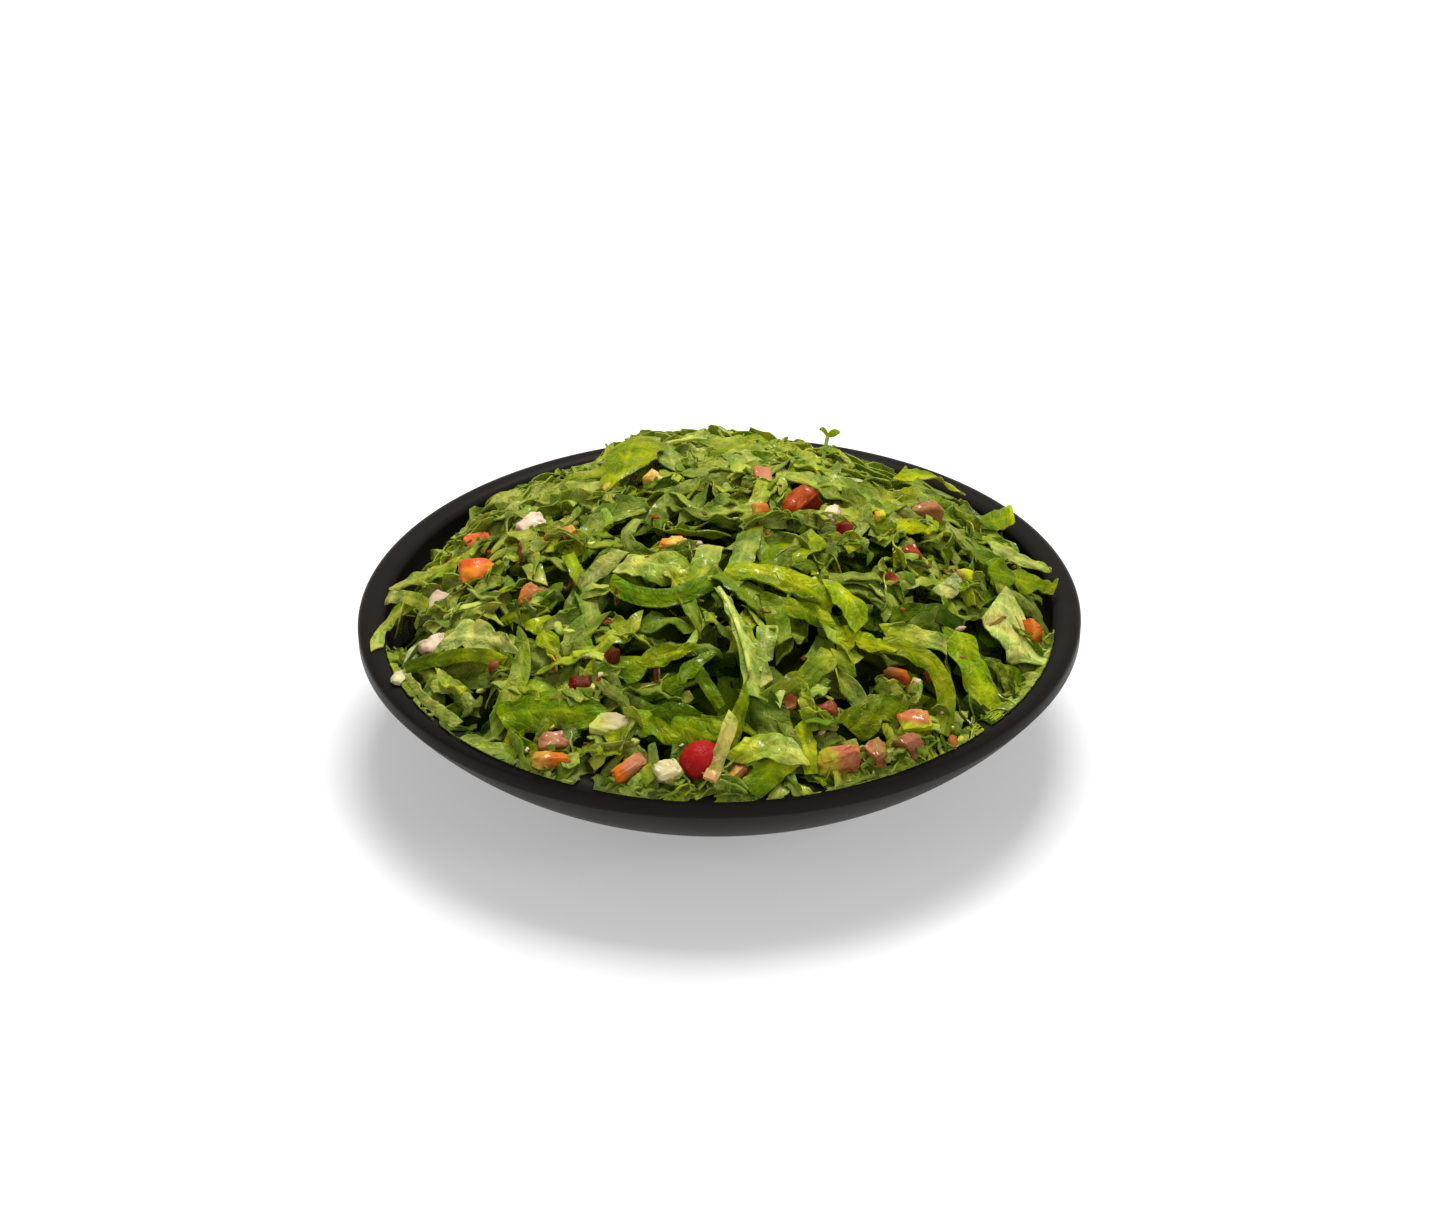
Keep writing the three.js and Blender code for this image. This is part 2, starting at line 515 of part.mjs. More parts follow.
function changedLeaf(leaf, { raise, inward, keep }) {
  const moved = (point) => point.map((v) => v * (1 - inward / Math.hypot(...point)));
  const from = moved(leaf.from);
  const to = moved(leaf.to).map((v, k) => from[k] + (v - from[k]) * keep);
  return { ...leaf, from, to, lifts: leaf.lifts.map((lift) => lift + raise) };
}

// The heap as one solid: the core with the pockets of the chunks, and every piece that has room on
// it. A piece without room is left out, and so is a scrap that hangs on nothing.
function saladGeometry(chunkMeshList) {
  const taken = wasm.Manifold.union([solidOf(dishRoomGeometry()), ...chunkMeshList.map(roomOf)]);
  const pieces = [coreSolid().subtract(taken)];
  for (const leaf of [...Object.values(standingOut), ...sprig, ...fillerShreds()]) {
    const fitting = TRIALS.map((trial) => leafSolid(changedLeaf(leaf, trial))).find((solid) => {
      const isClear = solid.intersect(taken).volume() < 1e-6;
      return isClear && pieces.some((piece) => solid.intersect(piece).volume() > LEAST_HOLD);
    });
    if (fitting) pieces.push(fitting);
  }
  const bodies = wasm.Manifold.union(pieces).simplify(0.15).decompose();
  return geometryOf(bodies.reduce((best, body) => (body.volume() > best.volume() ? body : best)));
}

// ---- The whole ----

const dish = new THREE.Mesh(
  dishGeometry(),
  new THREE.MeshStandardMaterial({ color: 0x2a292b, roughness: 0.42, metalness: 0 }),
);
dish.name = "dish";

const chunkMeshList = Object.entries(chunks).map(([name, chunk], i) => chunkMesh(name, chunk, 101 + 37 * i));

const salad = new THREE.Mesh(
  saladGeometry(chunkMeshList),
  new THREE.MeshStandardMaterial({ color: 0x6d9a1c, roughness: 0.45, metalness: 0 }),
);
salad.name = "salad";

const part = new THREE.Group();
part.add(dish, salad, ...chunkMeshList);

export default part;
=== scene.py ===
"""Looks of a dish of chopped arugula salad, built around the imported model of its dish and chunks.

The heap is laid leaf by leaf, as it is in the kitchen: every leaf is a thin closed sheet that follows
the top of what already lies under it. Lengths are millimetres until a mesh is made.
"""
import functools
import math

import bpy
import numpy as np
from mathutils import Matrix, Vector


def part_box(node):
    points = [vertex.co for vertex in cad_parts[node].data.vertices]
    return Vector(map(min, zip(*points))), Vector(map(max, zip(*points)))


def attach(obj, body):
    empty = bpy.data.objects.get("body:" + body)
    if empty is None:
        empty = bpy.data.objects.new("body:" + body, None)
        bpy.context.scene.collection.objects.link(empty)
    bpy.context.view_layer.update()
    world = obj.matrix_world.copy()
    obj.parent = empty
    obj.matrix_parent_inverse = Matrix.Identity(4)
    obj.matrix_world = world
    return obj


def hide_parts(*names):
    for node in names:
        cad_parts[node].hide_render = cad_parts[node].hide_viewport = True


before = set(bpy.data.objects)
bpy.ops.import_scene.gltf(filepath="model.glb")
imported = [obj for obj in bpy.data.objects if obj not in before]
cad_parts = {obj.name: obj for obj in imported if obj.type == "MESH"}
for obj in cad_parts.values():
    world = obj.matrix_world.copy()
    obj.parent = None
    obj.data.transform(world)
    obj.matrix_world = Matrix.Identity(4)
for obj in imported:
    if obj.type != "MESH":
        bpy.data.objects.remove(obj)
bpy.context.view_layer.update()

MM = 0.001

# ---- The dish, in millimetres ----
DISH_RADIUS = (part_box("dish")[1][0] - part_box("dish")[0][0]) / 2 / MM
DISH_HEIGHT = 49.0
LIP_RISE = 2.8
LIP_HALF_WIDTH = 4.7
LIP_DROP = 3.6
WALL_ARC_RADIUS = 96.0
WALL_SLOPE = math.radians(55)
WALL_THICKNESS = 5.5
INNER_ARC_END = math.radians(46)
FOOT_RADIUS = 52.0
FOOT_WIDTH = 7.0
FOOT_ROUNDING = 1.2

RIM_Z = DISH_HEIGHT - LIP_RISE
LIP_CENTRE = DISH_RADIUS - LIP_HALF_WIDTH
LIP_INSIDE = DISH_RADIUS - 2 * LIP_HALF_WIDTH
ARC_CENTRE_R = DISH_RADIUS - WALL_ARC_RADIUS * math.sin(WALL_SLOPE)
ARC_CENTRE_Z = RIM_Z - LIP_DROP + WALL_ARC_RADIUS * math.cos(WALL_SLOPE)
INNER_ARC = WALL_ARC_RADIUS - WALL_THICKNESS

# ---- The heap, in millimetres ----
MOUND_RISE = 42.0
MOUND_EDGE = 112.0
MOUND_FRONT_SPREAD = 7.0
MOUND_FULLNESS = 2.6
DENT_X, DENT_Y, DENT_DEPTH, DENT_SPREAD = -88.0, 40.0, 10.0, 34.0
CORE_DEPTH = 15.0
CORE_EDGE = 106.0
DISH_GAP = 0.5
BACK_DROP = 3.0  # the leaves at the back lie this much lower against the mean surface
SIDE_REACH = 106.0  # at the sides and the back, leaves reach out this far
FRONT_REACH = 119.7  # and this far at the front
REACH_POWER = 0.6
SHORTFALL, SHORTFALL_SPAN = 7.0, 12.0  # side leaves stop short by a share of this, front leaves don't
HEAP_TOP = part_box("salad")[1][2] / MM - 0.3
HOLLOW_DEPTH = 11.0  # leaves that cross a hollow lie this much under the mean surface
FRONT_ROW_Y = -85.0  # leaves before a chunk stand high only where it lies further forward than this
FRONT_ROW_DROP = 3.0
STIFFNESS = 0.35  # how far a leaf keeps to the mean height of what it crosses
UNDERSIDE_PALE = 0.28  # how far the underside of a leaf goes towards pale
UV_STEP = 400.0  # leaves take their veins from drawn places within this length
MAP_HALF = 124.0  # half the side of the map of heights
LIP_LEAVES = 104
TUCKED_LEAVES, TUCKED_IN_FRONT = 10, 4  # round each chunk
ROUND_FROM = 0.9  # a chunk of this squareness or more is a round one with skin all over
SHARP_EDGE = 50  # degrees from which an edge stays sharp

# ---- Steps round the turned pieces ----
DISH_STEPS = 192
CORE_STEPS = 144

# ---- Leaf colours, linear ----
LIME = np.array([0.44, 0.47, 0.002])
GRASS = np.array([0.16, 0.24, 0.001])
DEEP = np.array([0.032, 0.070, 0.001])
PALE = np.array([0.56, 0.57, 0.11])
CREAM = np.array([0.58, 0.53, 0.28])

# ---- Chunk colours, linear ----
CORAL = np.array([0.50, 0.070, 0.016])
RED = np.array([0.32, 0.010, 0.008])
ORANGE = np.array([0.52, 0.125, 0.010])
AMBER = np.array([0.48, 0.23, 0.030])
PEACH = np.array([0.44, 0.175, 0.055])
PINK = np.array([0.42, 0.150, 0.070])
BROWN = np.array([0.20, 0.085, 0.022])
RUST = np.array([0.20, 0.045, 0.014])
ONION = np.array([0.62, 0.46, 0.32])
CREAMY = np.array([0.52, 0.45, 0.22])


# ---- Small sums ----


def smooth_step(low, high, value):
    """0 below low, 1 above high, and a soft S between them."""
    t = np.clip((value - low) / (high - low), 0, 1)
    return t * t * (3 - 2 * t)


def unit(vectors):
    """Each vector divided by its own length."""
    return vectors / np.maximum(np.linalg.norm(vectors, axis=-1, keepdims=True), 1e-9)


def ripples(x, y, wavelength, rng, waves=5):
    """A soft uneven field of about -1 to 1: a sum of plane waves in drawn directions, of about one
    wavelength."""
    total = np.zeros(np.broadcast(x, y).shape)
    for _ in range(waves):
        turn, phase = rng.uniform(0, 2 * math.pi, 2)
        pitch = 2 * math.pi / (wavelength * rng.uniform(0.7, 1.5))
        total += np.sin(pitch * (x * math.cos(turn) + y * math.sin(turn)) + phase)
    return total / math.sqrt(waves)


def full_turn(steps):
    """The angles of a full circle in equal steps, without the last one that closes it."""
    return np.linspace(0, 2 * math.pi, steps + 1)[:-1]


def pointing(turn, length):
    """The step in plan of that length in a direction."""
    return np.array([math.cos(turn), math.sin(turn)]) * length


def rings(x, y, reach):
    """The places on rings of the given radii about x, y."""
    turn = np.linspace(0, 2 * math.pi, 12)[:, None]
    return np.stack([x + reach * np.cos(turn), y + reach * np.sin(turn)], 2)


def with_last(grid, value):
    """A grid of points or colours with one more number at each place."""
    return np.concatenate([grid, np.broadcast_to(value, grid.shape[:2])[..., None]], 2)


def box_mm(node):
    """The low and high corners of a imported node, in millimetres."""
    return tuple(np.array(corner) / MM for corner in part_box(node))


# ---- Meshes ----


def sheet_faces(along, across):
    """Quads of a closed thin sheet: the upper grid of along by across points, the same grid below it, and
    walls round the four edges, all facing out."""
    a = (np.arange(along - 1)[:, None] * across + np.arange(across - 1)).ravel()
    back = along * across
    upper = np.stack([a, a + across, a + across + 1, a + 1], 1)
    lower = np.stack([a, a + 1, a + across + 1, a + across], 1) + back
    first = np.arange(along - 1) * across
    last = first + across - 1
    ends = np.arange(across - 1)
    far = (along - 1) * across
    starts = np.concatenate([first + across, last, ends, ends + far + 1])
    stops = np.concatenate([first, last + across, ends + 1, ends + far])
    walls = np.stack([starts, stops, stops + back, starts + back], 1)
    return np.concatenate([upper, lower, walls])


def round_faces(rows, count):
    """Faces of a closed round grid: rows of count points, with a pole before the first and after the last."""
    j = np.arange(count)
    n = (j + 1) % count
    faces = [(0, 1 + b, 1 + a) for a, b in zip(j, n)]
    for i in range(rows - 1):
        low = 1 + i * count
        faces += [(low + a, low + b, low + count + b, low + count + a) for a, b in zip(j, n)]
    top = 1 + rows * count
    faces += [(top, top - count + a, top - count + b) for a, b in zip(j, n)]
    return faces


def round_points(rows, first_pole, last_pole):
    """The points or tints of a closed round grid, in the order that round_faces takes."""
    return np.concatenate([[first_pole], rows.reshape(-1, rows.shape[-1]), [last_pole]])


def closed(grid):
    """The same for a grid whose first and last rows are the poles."""
    return round_points(grid[1:-1], grid[0, 0], grid[-1, 0])


def finish_piece(mesh, name, material, replaced, sharp_from=None):
    """Puts a mesh in the scene as a piece of the object that rides on its one body."""
    mesh.shade_smooth()
    if sharp_from is not None:
        mesh.set_sharp_from_angle(angle=math.radians(sharp_from))
    mesh.materials.append(material)
    piece = bpy.data.objects.new(name, mesh)
    bpy.context.scene.collection.objects.link(piece)
    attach(piece, "root")
    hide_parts(replaced)
    return piece


def add_tint(mesh, tint):
    """Stores a colour and a fourth number with each point, as the attribute that the materials read."""
    layer = mesh.attributes.new("tint", "FLOAT_COLOR", "POINT")
    layer.data.foreach_set("color", tint.astype(np.float32).ravel())


def round_mesh(name, points, faces, tint=None):
    """A mesh of a closed round grid, from millimetres."""
    mesh = bpy.data.meshes.new(name)
    mesh.from_pydata((points * MM).tolist(), [], faces)
    if tint is not None:
        add_tint(mesh, tint)
    return mesh


def many_round_mesh(name, pieces, tints, rows, count):
    """One mesh of many closed round grids of the same number of rows and of points in a row."""
    each = rows * count + 2
    one = round_faces(rows, count)
    faces = [tuple(index * each + corner for corner in face) for index in range(len(pieces)) for face in one]
    return round_mesh(name, np.concatenate(pieces), faces, np.concatenate(tints))


class Sheets:
    """Closed thin sheets of one kind, gathered into one mesh."""

    def __init__(self):
        self.points, self.faces, self.tints, self.uvs, self.count = [], [], [], [], 0

    def add(self, upper, lower, tint_up, tint_down, uv):
        """One more sheet: its upper and lower grid, the tint of each, and the uv that both have."""
        along, across = upper.shape[:2]
        self.points += [upper.reshape(-1, 3), lower.reshape(-1, 3)]
        self.tints += [tint_up.reshape(-1, 4), tint_down.reshape(-1, 4)]
        self.uvs += [uv.reshape(-1, 2)] * 2
        self.faces.append(sheet_quads(along, across) + self.count)
        self.count += 2 * along * across

    def mesh(self, name):
        """One mesh of all the sheets, with each point's tint, and uv in millimetres along and across."""
        points = np.concatenate(self.points) * MM
        faces = np.concatenate(self.faces)
        corners = faces.ravel()
        mesh = bpy.data.meshes.new(name)
        mesh.vertices.add(len(points))
        mesh.vertices.foreach_set("co", points.astype(np.float32).ravel())
        mesh.loops.add(len(corners))
        mesh.loops.foreach_set("vertex_index", corners.astype(np.int32))
        mesh.polygons.add(len(faces))
        mesh.polygons.foreach_set("loop_start", np.arange(len(faces), dtype=np.int32) * 4)
        mesh.update(calc_edges=True)
        add_tint(mesh, np.concatenate(self.tints))
        uv_map = mesh.uv_layers.new(name="leaf")
        uv_map.data.foreach_set("uv", np.concatenate(self.uvs)[corners].astype(np.float32).ravel())
        return mesh


@functools.lru_cache(maxsize=None)
def sheet_quads(along, across):
    """The same faces, worked out once for each size of grid."""
    return sheet_faces(along, across)


# ---- Materials ----


def place(tree, kind, inputs=None, **settings):
    """A node of that kind with its settings; each input gets a value or is wired to an output."""
    node = tree.nodes.new(kind)
    for name, value in settings.items():
        setattr(node, name, value)
    for name, value in (inputs or {}).items():
        if isinstance(value, bpy.types.NodeSocket):
            tree.links.new(value, node.inputs[name])
        else:
            node.inputs[name].default_value = value
    return node


def number(tree, operation, a, b=0.0, c=0.0):
    """The result of a sum on up to three numbers."""
    return place(tree, "ShaderNodeMath", {0: a, 1: b, 2: c}, operation=operation).outputs[0]


def between(tree, value, low, high):
    """A soft 0 to 1 as value goes from low to high."""
    inputs = {"Value": value, "From Min": low, "From Max": high}
    return place(tree, "ShaderNodeMapRange", inputs, interpolation_type="SMOOTHSTEP").outputs["Result"]


def mixed(tree, factor, a, b, how="MIX"):
    """Colour a turned into colour b by the factor."""
    node = tree.nodes.new("ShaderNodeMix")
    node.data_type, node.blend_type = "RGBA", how
    for index, value in ((0, factor), (6, a), (7, b)):
        if isinstance(value, bpy.types.NodeSocket):
            tree.links.new(value, node.inputs[index])
        else:
            node.inputs[index].default_value = value
    return node.outputs[2]


def times(tree, colour, factor):
    """A colour with each of its parts multiplied."""
    return mixed(tree, 1.0, colour, (*factor, 1), "MULTIPLY")


def noise(tree, where, scale, detail, rough=0.5):
    """A soft uneven field over a place."""
    inputs = {"Vector": where, "Scale": scale, "Detail": detail, "Roughness": rough}
    return place(tree, "ShaderNodeTexNoise", inputs)


def bumped(tree, height, strength, distance):
    """The normal of a surface with a relief on it; the distance is in metres."""
    inputs = {"Height": height, "Strength": strength, "Distance": distance}
    return place(tree, "ShaderNodeBump", inputs).outputs["Normal"]


def own_tint(tree):
    """The colour and the fourth number that the mesh carries."""
    return place(tree, "ShaderNodeAttribute", attribute_name="tint", attribute_type="GEOMETRY").outputs


def own_place(tree):
    """The place on the object, in metres."""
    return place(tree, "ShaderNodeTexCoord").outputs["Object"]


def new_group(name, inputs, outputs):
    """An empty node group with named float, vector or colour sockets."""
    group = bpy.data.node_groups.new(name, "ShaderNodeTree")
    for socket, kind in inputs.items():
        group.interface.new_socket(socket, in_out="INPUT", socket_type=kind)
    for socket, kind in outputs.items():
        group.interface.new_socket(socket, in_out="OUTPUT", socket_type=kind)
    return group, group.nodes.new("NodeGroupInput").outputs, group.nodes.new("NodeGroupOutput").inputs


def make_leaf_relief():
    """Veins and blisters of a leaf, from its own millimetres along and across: side veins that leave the
    midrib at a slant, a fine net between them, and the blade swelling in each mesh of the net."""
    group, given, result = new_group(
        "leaf relief",
        {"Leaf mm": "NodeSocketVector", "Vein spacing": "NodeSocketFloat", "Net scale": "NodeSocketFloat"},
        {name: "NodeSocketFloat" for name in ("Veins", "Height", "Patches", "Grain")},
    )
    wander = noise(group, given["Leaf mm"], 0.22, 2.0)
    split = place(group, "ShaderNodeSeparateXYZ", {0: given["Leaf mm"]})
    from_rib = number(group, "ABSOLUTE", split.outputs["Y"])
    slant = number(group, "MULTIPLY_ADD", from_rib, -1.1, split.outputs["X"])
    slant = number(group, "MULTIPLY_ADD", wander.outputs["Fac"], 5.0, slant)
    turns = number(group, "FRACT", number(group, "DIVIDE", slant, given["Vein spacing"]))
    from_vein = number(group, "ABSOLUTE", number(group, "SUBTRACT", turns, 0.5))
    side_veins = between(group, from_vein, 0.39, 0.5)
    rib = between(group, from_rib, 1.0, 0.25)
    scaled = {0: wander.outputs["Color"], "Scale": 7.0}
    shift = place(group, "ShaderNodeVectorMath", scaled, operation="SCALE")
    shifted = {0: given["Leaf mm"], 1: shift.outputs[0]}
    warped = place(group, "ShaderNodeVectorMath", shifted, operation="ADD")
    cells = {"Vector": warped.outputs[0], "Scale": given["Net scale"], "Randomness": 1.0}
    net = place(group, "ShaderNodeTexVoronoi", cells, feature="DISTANCE_TO_EDGE").outputs["Distance"]
    fine = between(group, net, 0.07, 0.0)
    fine_veins = number(group, "MULTIPLY", fine, 0.55)
    veins = number(group, "MAXIMUM", number(group, "MAXIMUM", side_veins, rib), fine_veins)
    swell = between(group, net, 0.0, 0.55)
    grain = noise(group, warped.outputs[0], 0.55, 3.0).outputs["Fac"]
    height = number(group, "MULTIPLY_ADD", veins, -0.35, number(group, "MULTIPLY_ADD", grain, 0.5, swell))
    patches = noise(group, given["Leaf mm"], 0.11, 3.0)
    found = {"Veins": veins, "Height": height, "Patches": patches.outputs["Fac"], "Grain": grain}
    for socket, value in found.items():
        group.links.new(value, result[socket])
    return group


def make_wet_film():
    """Where dressing lies: a soft mask of wet patches over the surface, and small drops inside them."""
    group, given, result = new_group(
        "dressing film",
        {"Place": "NodeSocketVector", "Scale": "NodeSocketFloat"},
        {"Wet": "NodeSocketFloat", "Drops": "NodeSocketFloat"},
    )
    patches = noise(group, given["Place"], given["Scale"], 3.0)
    wet = between(group, patches.outputs["Fac"], 0.42, 0.60)
    specks = noise(group, given["Place"], 620.0, 2.0)
    drops = number(group, "MULTIPLY", between(group, specks.outputs["Fac"], 0.56, 0.66), wet)
    group.links.new(wet, result["Wet"])
    group.links.new(drops, result["Drops"])
    return group


def new_material(name):
    """A material with an empty node tree and its output node."""
    material = bpy.data.materials.new(name)
    material.use_nodes = True
    tree = material.node_tree
    tree.nodes.clear()
    return material, tree, tree.nodes.new("ShaderNodeOutputMaterial")


def film_over(tree, scale):
    """The dressing film over a piece, with patches of that scale."""
    wet = place(tree, "ShaderNodeGroup", node_tree=DRESSING_FILM)
    tree.links.new(own_place(tree), wet.inputs["Place"])
    wet.inputs["Scale"].default_value = scale
    return wet


def leaf_material(name, spacing, net, bump, rough, vein_light, through, gloss=0.12):
    """A leaf's skin: its own tint, lighter veins, darker and yellower patches, a bump from its relief, wet
    patches that shine, and some light coming through the blade. Without gloss it has no drops either."""
    material, tree, output = new_material(name)
    tint = own_tint(tree)["Color"]
    uv = place(tree, "ShaderNodeUVMap", uv_map="leaf").outputs["UV"]
    veins = place(tree, "ShaderNodeGroup", node_tree=LEAF_RELIEF)
    tree.links.new(uv, veins.inputs["Leaf mm"])
    veins.inputs["Vein spacing"].default_value = spacing
    veins.inputs["Net scale"].default_value = net
    wet = film_over(tree, 160.0)
    lighter = times(tree, tint, (1.5, 1.35, 1.8))
    darker = times(tree, tint, (0.55, 0.74, 0.6))
    patchy = mixed(tree, between(tree, veins.outputs["Patches"], 0.60, 0.40), tint, darker)
    flecked = times(tree, patchy, (0.62, 0.74, 0.5))
    patchy = mixed(tree, between(tree, veins.outputs["Grain"], 0.54, 0.30), patchy, flecked)
    vein_share = number(tree, "MULTIPLY", veins.outputs["Veins"], vein_light)
    colour = mixed(tree, vein_share, patchy, lighter)
    normal = bumped(tree, veins.outputs["Height"], bump, 0.0012)
    roughness = number(tree, "MULTIPLY_ADD", wet.outputs["Wet"], -0.22, rough)
    skin = place(
        tree,
        "ShaderNodeBsdfPrincipled",
        {
            "Base Color": colour,
            "Roughness": roughness,
            "Normal": normal,
            "IOR": 1.42,
            "Specular IOR Level": gloss,
            "Coat Roughness": 0.16,
        },
    )
    if gloss:
        tree.links.new(wet.outputs["Drops"], skin.inputs["Coat Weight"])
    glow = times(tree, colour, (1.25, 1.2, 0.6))
    light_through = place(tree, "ShaderNodeBsdfTranslucent", {"Color": glow, "Normal": normal})
    mix = place(tree, "ShaderNodeMixShader", {0: through, 1: skin.outputs[0], 2: light_through.outputs[0]})
    tree.links.new(mix.outputs[0], output.inputs["Surface"])
    return material


def flesh_material(name, rough, sheen_depth, grain):
    """Cut flesh or skin of a chunk: its own tint with a fleshy mottle, a fine wet grain on the cut sides and
    a smooth glossy skin where the tint's fourth number is 1."""
    material, tree, output = new_material(name)
    tint, skin_share = own_tint(tree)["Color"], own_tint(tree)["Alpha"]
    where = own_place(tree)
    mottle = noise(tree, where, 560.0, 5.0, 0.65).outputs["Fac"]
    broad = noise(tree, where, 210.0, 3.0).outputs["Fac"]
    pale = times(tree, tint, (1.15, 1.6, 1.45))
    dark = times(tree, tint, (0.66, 0.46, 0.45))
    colour = mixed(tree, between(tree, mottle, 0.50, 0.64), tint, pale)
    colour = mixed(tree, between(tree, broad, 0.56, 0.40), colour, dark)
    colour = mixed(tree, number(tree, "MULTIPLY", skin_share, 0.8), colour, tint)
    cut = number(tree, "MULTIPLY_ADD", skin_share, -0.6, 1.0)
    normal = bumped(tree, number(tree, "MULTIPLY", mottle, cut), grain, 0.0009)
    wet = film_over(tree, 240.0)
    roughness = number(tree, "MULTIPLY_ADD", wet.outputs["Wet"], -0.14, rough)
    skin = place(
        tree,
        "ShaderNodeBsdfPrincipled",
        {
            "Base Color": colour,
            "Roughness": roughness,
            "Normal": normal,
            "IOR": 1.4,
            "Specular IOR Level": 0.06,
            "Coat Weight": wet.outputs["Drops"],
            "Coat Roughness": 0.12,
            "Subsurface Weight": sheen_depth,
            "Subsurface Radius": (1.0, 0.35, 0.2),
            "Subsurface Scale": 0.0020,
        },
    )
    tree.links.new(skin.outputs[0], output.inputs["Surface"])
    return material


def glaze_material():
    """Satin black glaze: nearly black, with a faint mottle in colour and gloss and a slight orange-peel
    skin."""
    material, tree, output = new_material("satin black glaze")
    where = own_place(tree)
    mottle = noise(tree, where, 60.0, 5.0, 0.6).outputs["Fac"]
    peel = noise(tree, where, 900.0, 2.0).outputs["Fac"]
    colour = mixed(tree, mottle, (0.0100, 0.0084, 0.0070, 1), (0.0145, 0.0125, 0.0108, 1))
    glaze = place(
        tree,
        "ShaderNodeBsdfPrincipled",
        {
            "Base Color": colour,
            "Roughness": number(tree, "MULTIPLY_ADD", mottle, 0.12, 0.30),
            "Normal": bumped(tree, peel, 0.12, 0.0002),
            "IOR": 1.5,
            "Specular IOR Level": 0.025,
        },
    )
    tree.links.new(glaze.outputs[0], output.inputs["Surface"])
    return material


def core_material():
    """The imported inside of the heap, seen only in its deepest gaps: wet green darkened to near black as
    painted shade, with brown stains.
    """
    material, tree, output = new_material("packed leaves in painted shade")
    stains = noise(tree, own_place(tree), 130.0, 4.0).outputs["Fac"]
    # Both colours are darkened to near black as painted shade for the deep gaps; the noise between them gives
    # brown stains.
    colour = mixed(tree, stains, (0.004, 0.006, 0.001, 1), (0.018, 0.020, 0.004, 1))
    normal = bumped(tree, stains, 0.8, 0.002)
    packed = place(
        tree,
        "ShaderNodeBsdfPrincipled",
        {"Base Color": colour, "Roughness": 0.8, "Normal": normal, "Specular IOR Level": 0.0},
    )
    tree.links.new(packed.outputs[0], output.inputs["Surface"])
    return material


LEAF_RELIEF = make_leaf_relief()
DRESSING_FILM = make_wet_film()
UNDERLEAF = leaf_material(
    "lower leaf", spacing=5.5, net=0.34, bump=0.26, rough=0.7, vein_light=0.25, through=0.30, gloss=0.0
)
BLADE = leaf_material(
    "cut leaf", spacing=5.5, net=0.34, bump=0.34, rough=0.42, vein_light=0.36, through=0.38
)
CRINKLE = leaf_material(
    "crinkled leaf", spacing=6.0, net=0.30, bump=0.38, rough=0.40, vein_light=0.36, through=0.40
)
HERB = leaf_material(
    "herb leaf", spacing=2.6, net=0.6, bump=0.3, rough=0.42, vein_light=0.25, through=0.32
)
RIB = leaf_material(
    "juicy rib", spacing=30.0, net=0.2, bump=0.35, rough=0.34, vein_light=0.15, through=0.16
)
TOMATO = flesh_material("tomato flesh", rough=0.30, sheen_depth=0.10, grain=1.0)
ONION_FLESH = flesh_material("onion flesh", rough=0.34, sheen_depth=0.15, grain=0.7)


# ---- Dish ----


def arc(centre, radius, start, stop, steps):
    """Points on a circle about a centre, as slopes from straight down go from start to stop."""
    slope = np.linspace(start, stop, steps)
    return np.stack([centre[0] + radius * np.sin(slope), centre[1] - radius * np.cos(slope)], 1)


def dish_inside():
    """The dish's inside as radius and height, from the lip's inner side down to the middle: a curve with two
    ends and one corner from the lip into the wall, the wall's inner arc, and the flat floor."""
    wall = arc((ARC_CENTRE_R, ARC_CENTRE_Z), INNER_ARC, INNER_ARC_END, 0.0, 40)
    corner = np.array([LIP_INSIDE, wall[0, 1] + math.tan(INNER_ARC_END) * (LIP_INSIDE - wall[0, 0])])
    t = np.linspace(0, 1, 9)[:-1, None]
    turn = (1 - t) ** 2 * [LIP_INSIDE, RIM_Z] + 2 * t * (1 - t) * corner + t**2 * wall[0]
    return np.concatenate([turn, wall])


def lip_line(turn):
    """The lip's half ellipse at turns from 0 at its outer end to half a circle at its inner end."""
    across = LIP_CENTRE + LIP_HALF_WIDTH * np.cos(turn)
    return np.stack([across, RIM_Z + LIP_RISE * np.sin(turn)], 1)


def dish_profile():
    """The whole section from the middle underneath, round the foot, up the outer arc, over the lip's half
    ellipse and down the inside."""
    base_z = ARC_CENTRE_Z - WALL_ARC_RADIUS
    foot_inside = FOOT_RADIUS - FOOT_WIDTH
    quarter = np.linspace(0, math.pi / 2, 5)
    little, much = FOOT_ROUNDING * (1 - np.cos(quarter)), FOOT_ROUNDING * (1 - np.sin(quarter))
    inner_turn = np.stack([foot_inside + little, much], 1)
    outer_turn = np.stack([FOOT_RADIUS - much, little], 1)
    radii = foot_inside * 0.3, foot_inside * 0.7, foot_inside - 0.4
    underneath = np.array([[radius, base_z] for radius in radii])
    foot_slope = math.asin((FOOT_RADIUS - ARC_CENTRE_R) / WALL_ARC_RADIUS)
    wall = arc((ARC_CENTRE_R, ARC_CENTRE_Z), WALL_ARC_RADIUS, foot_slope + 0.004, WALL_SLOPE, 40)
    lip = lip_line(np.linspace(0, math.pi, 29)[:-1])
    return np.concatenate([underneath, inner_turn, outer_turn, wall, lip, dish_inside()])


def make_dish():
    """The section turned round the upright."""
    section = dish_profile()
    turn = full_turn(DISH_STEPS)
    rows = np.stack(
        [
            section[:, :1] * np.cos(turn),
            section[:, :1] * np.sin(turn),
            np.repeat(section[:, 1:], len(turn), 1),
        ],
        2,
    )
    poles = (0, 0, section[0, 1]), (0, 0, section[-1, 1])
    points = round_points(rows, *poles)
    mesh = round_mesh("dish_glazed", points, round_faces(len(section), len(turn)))
    return finish_piece(mesh, "dish_glazed", glaze_material(), "dish", SHARP_EDGE)


# ---- The heap's form ----


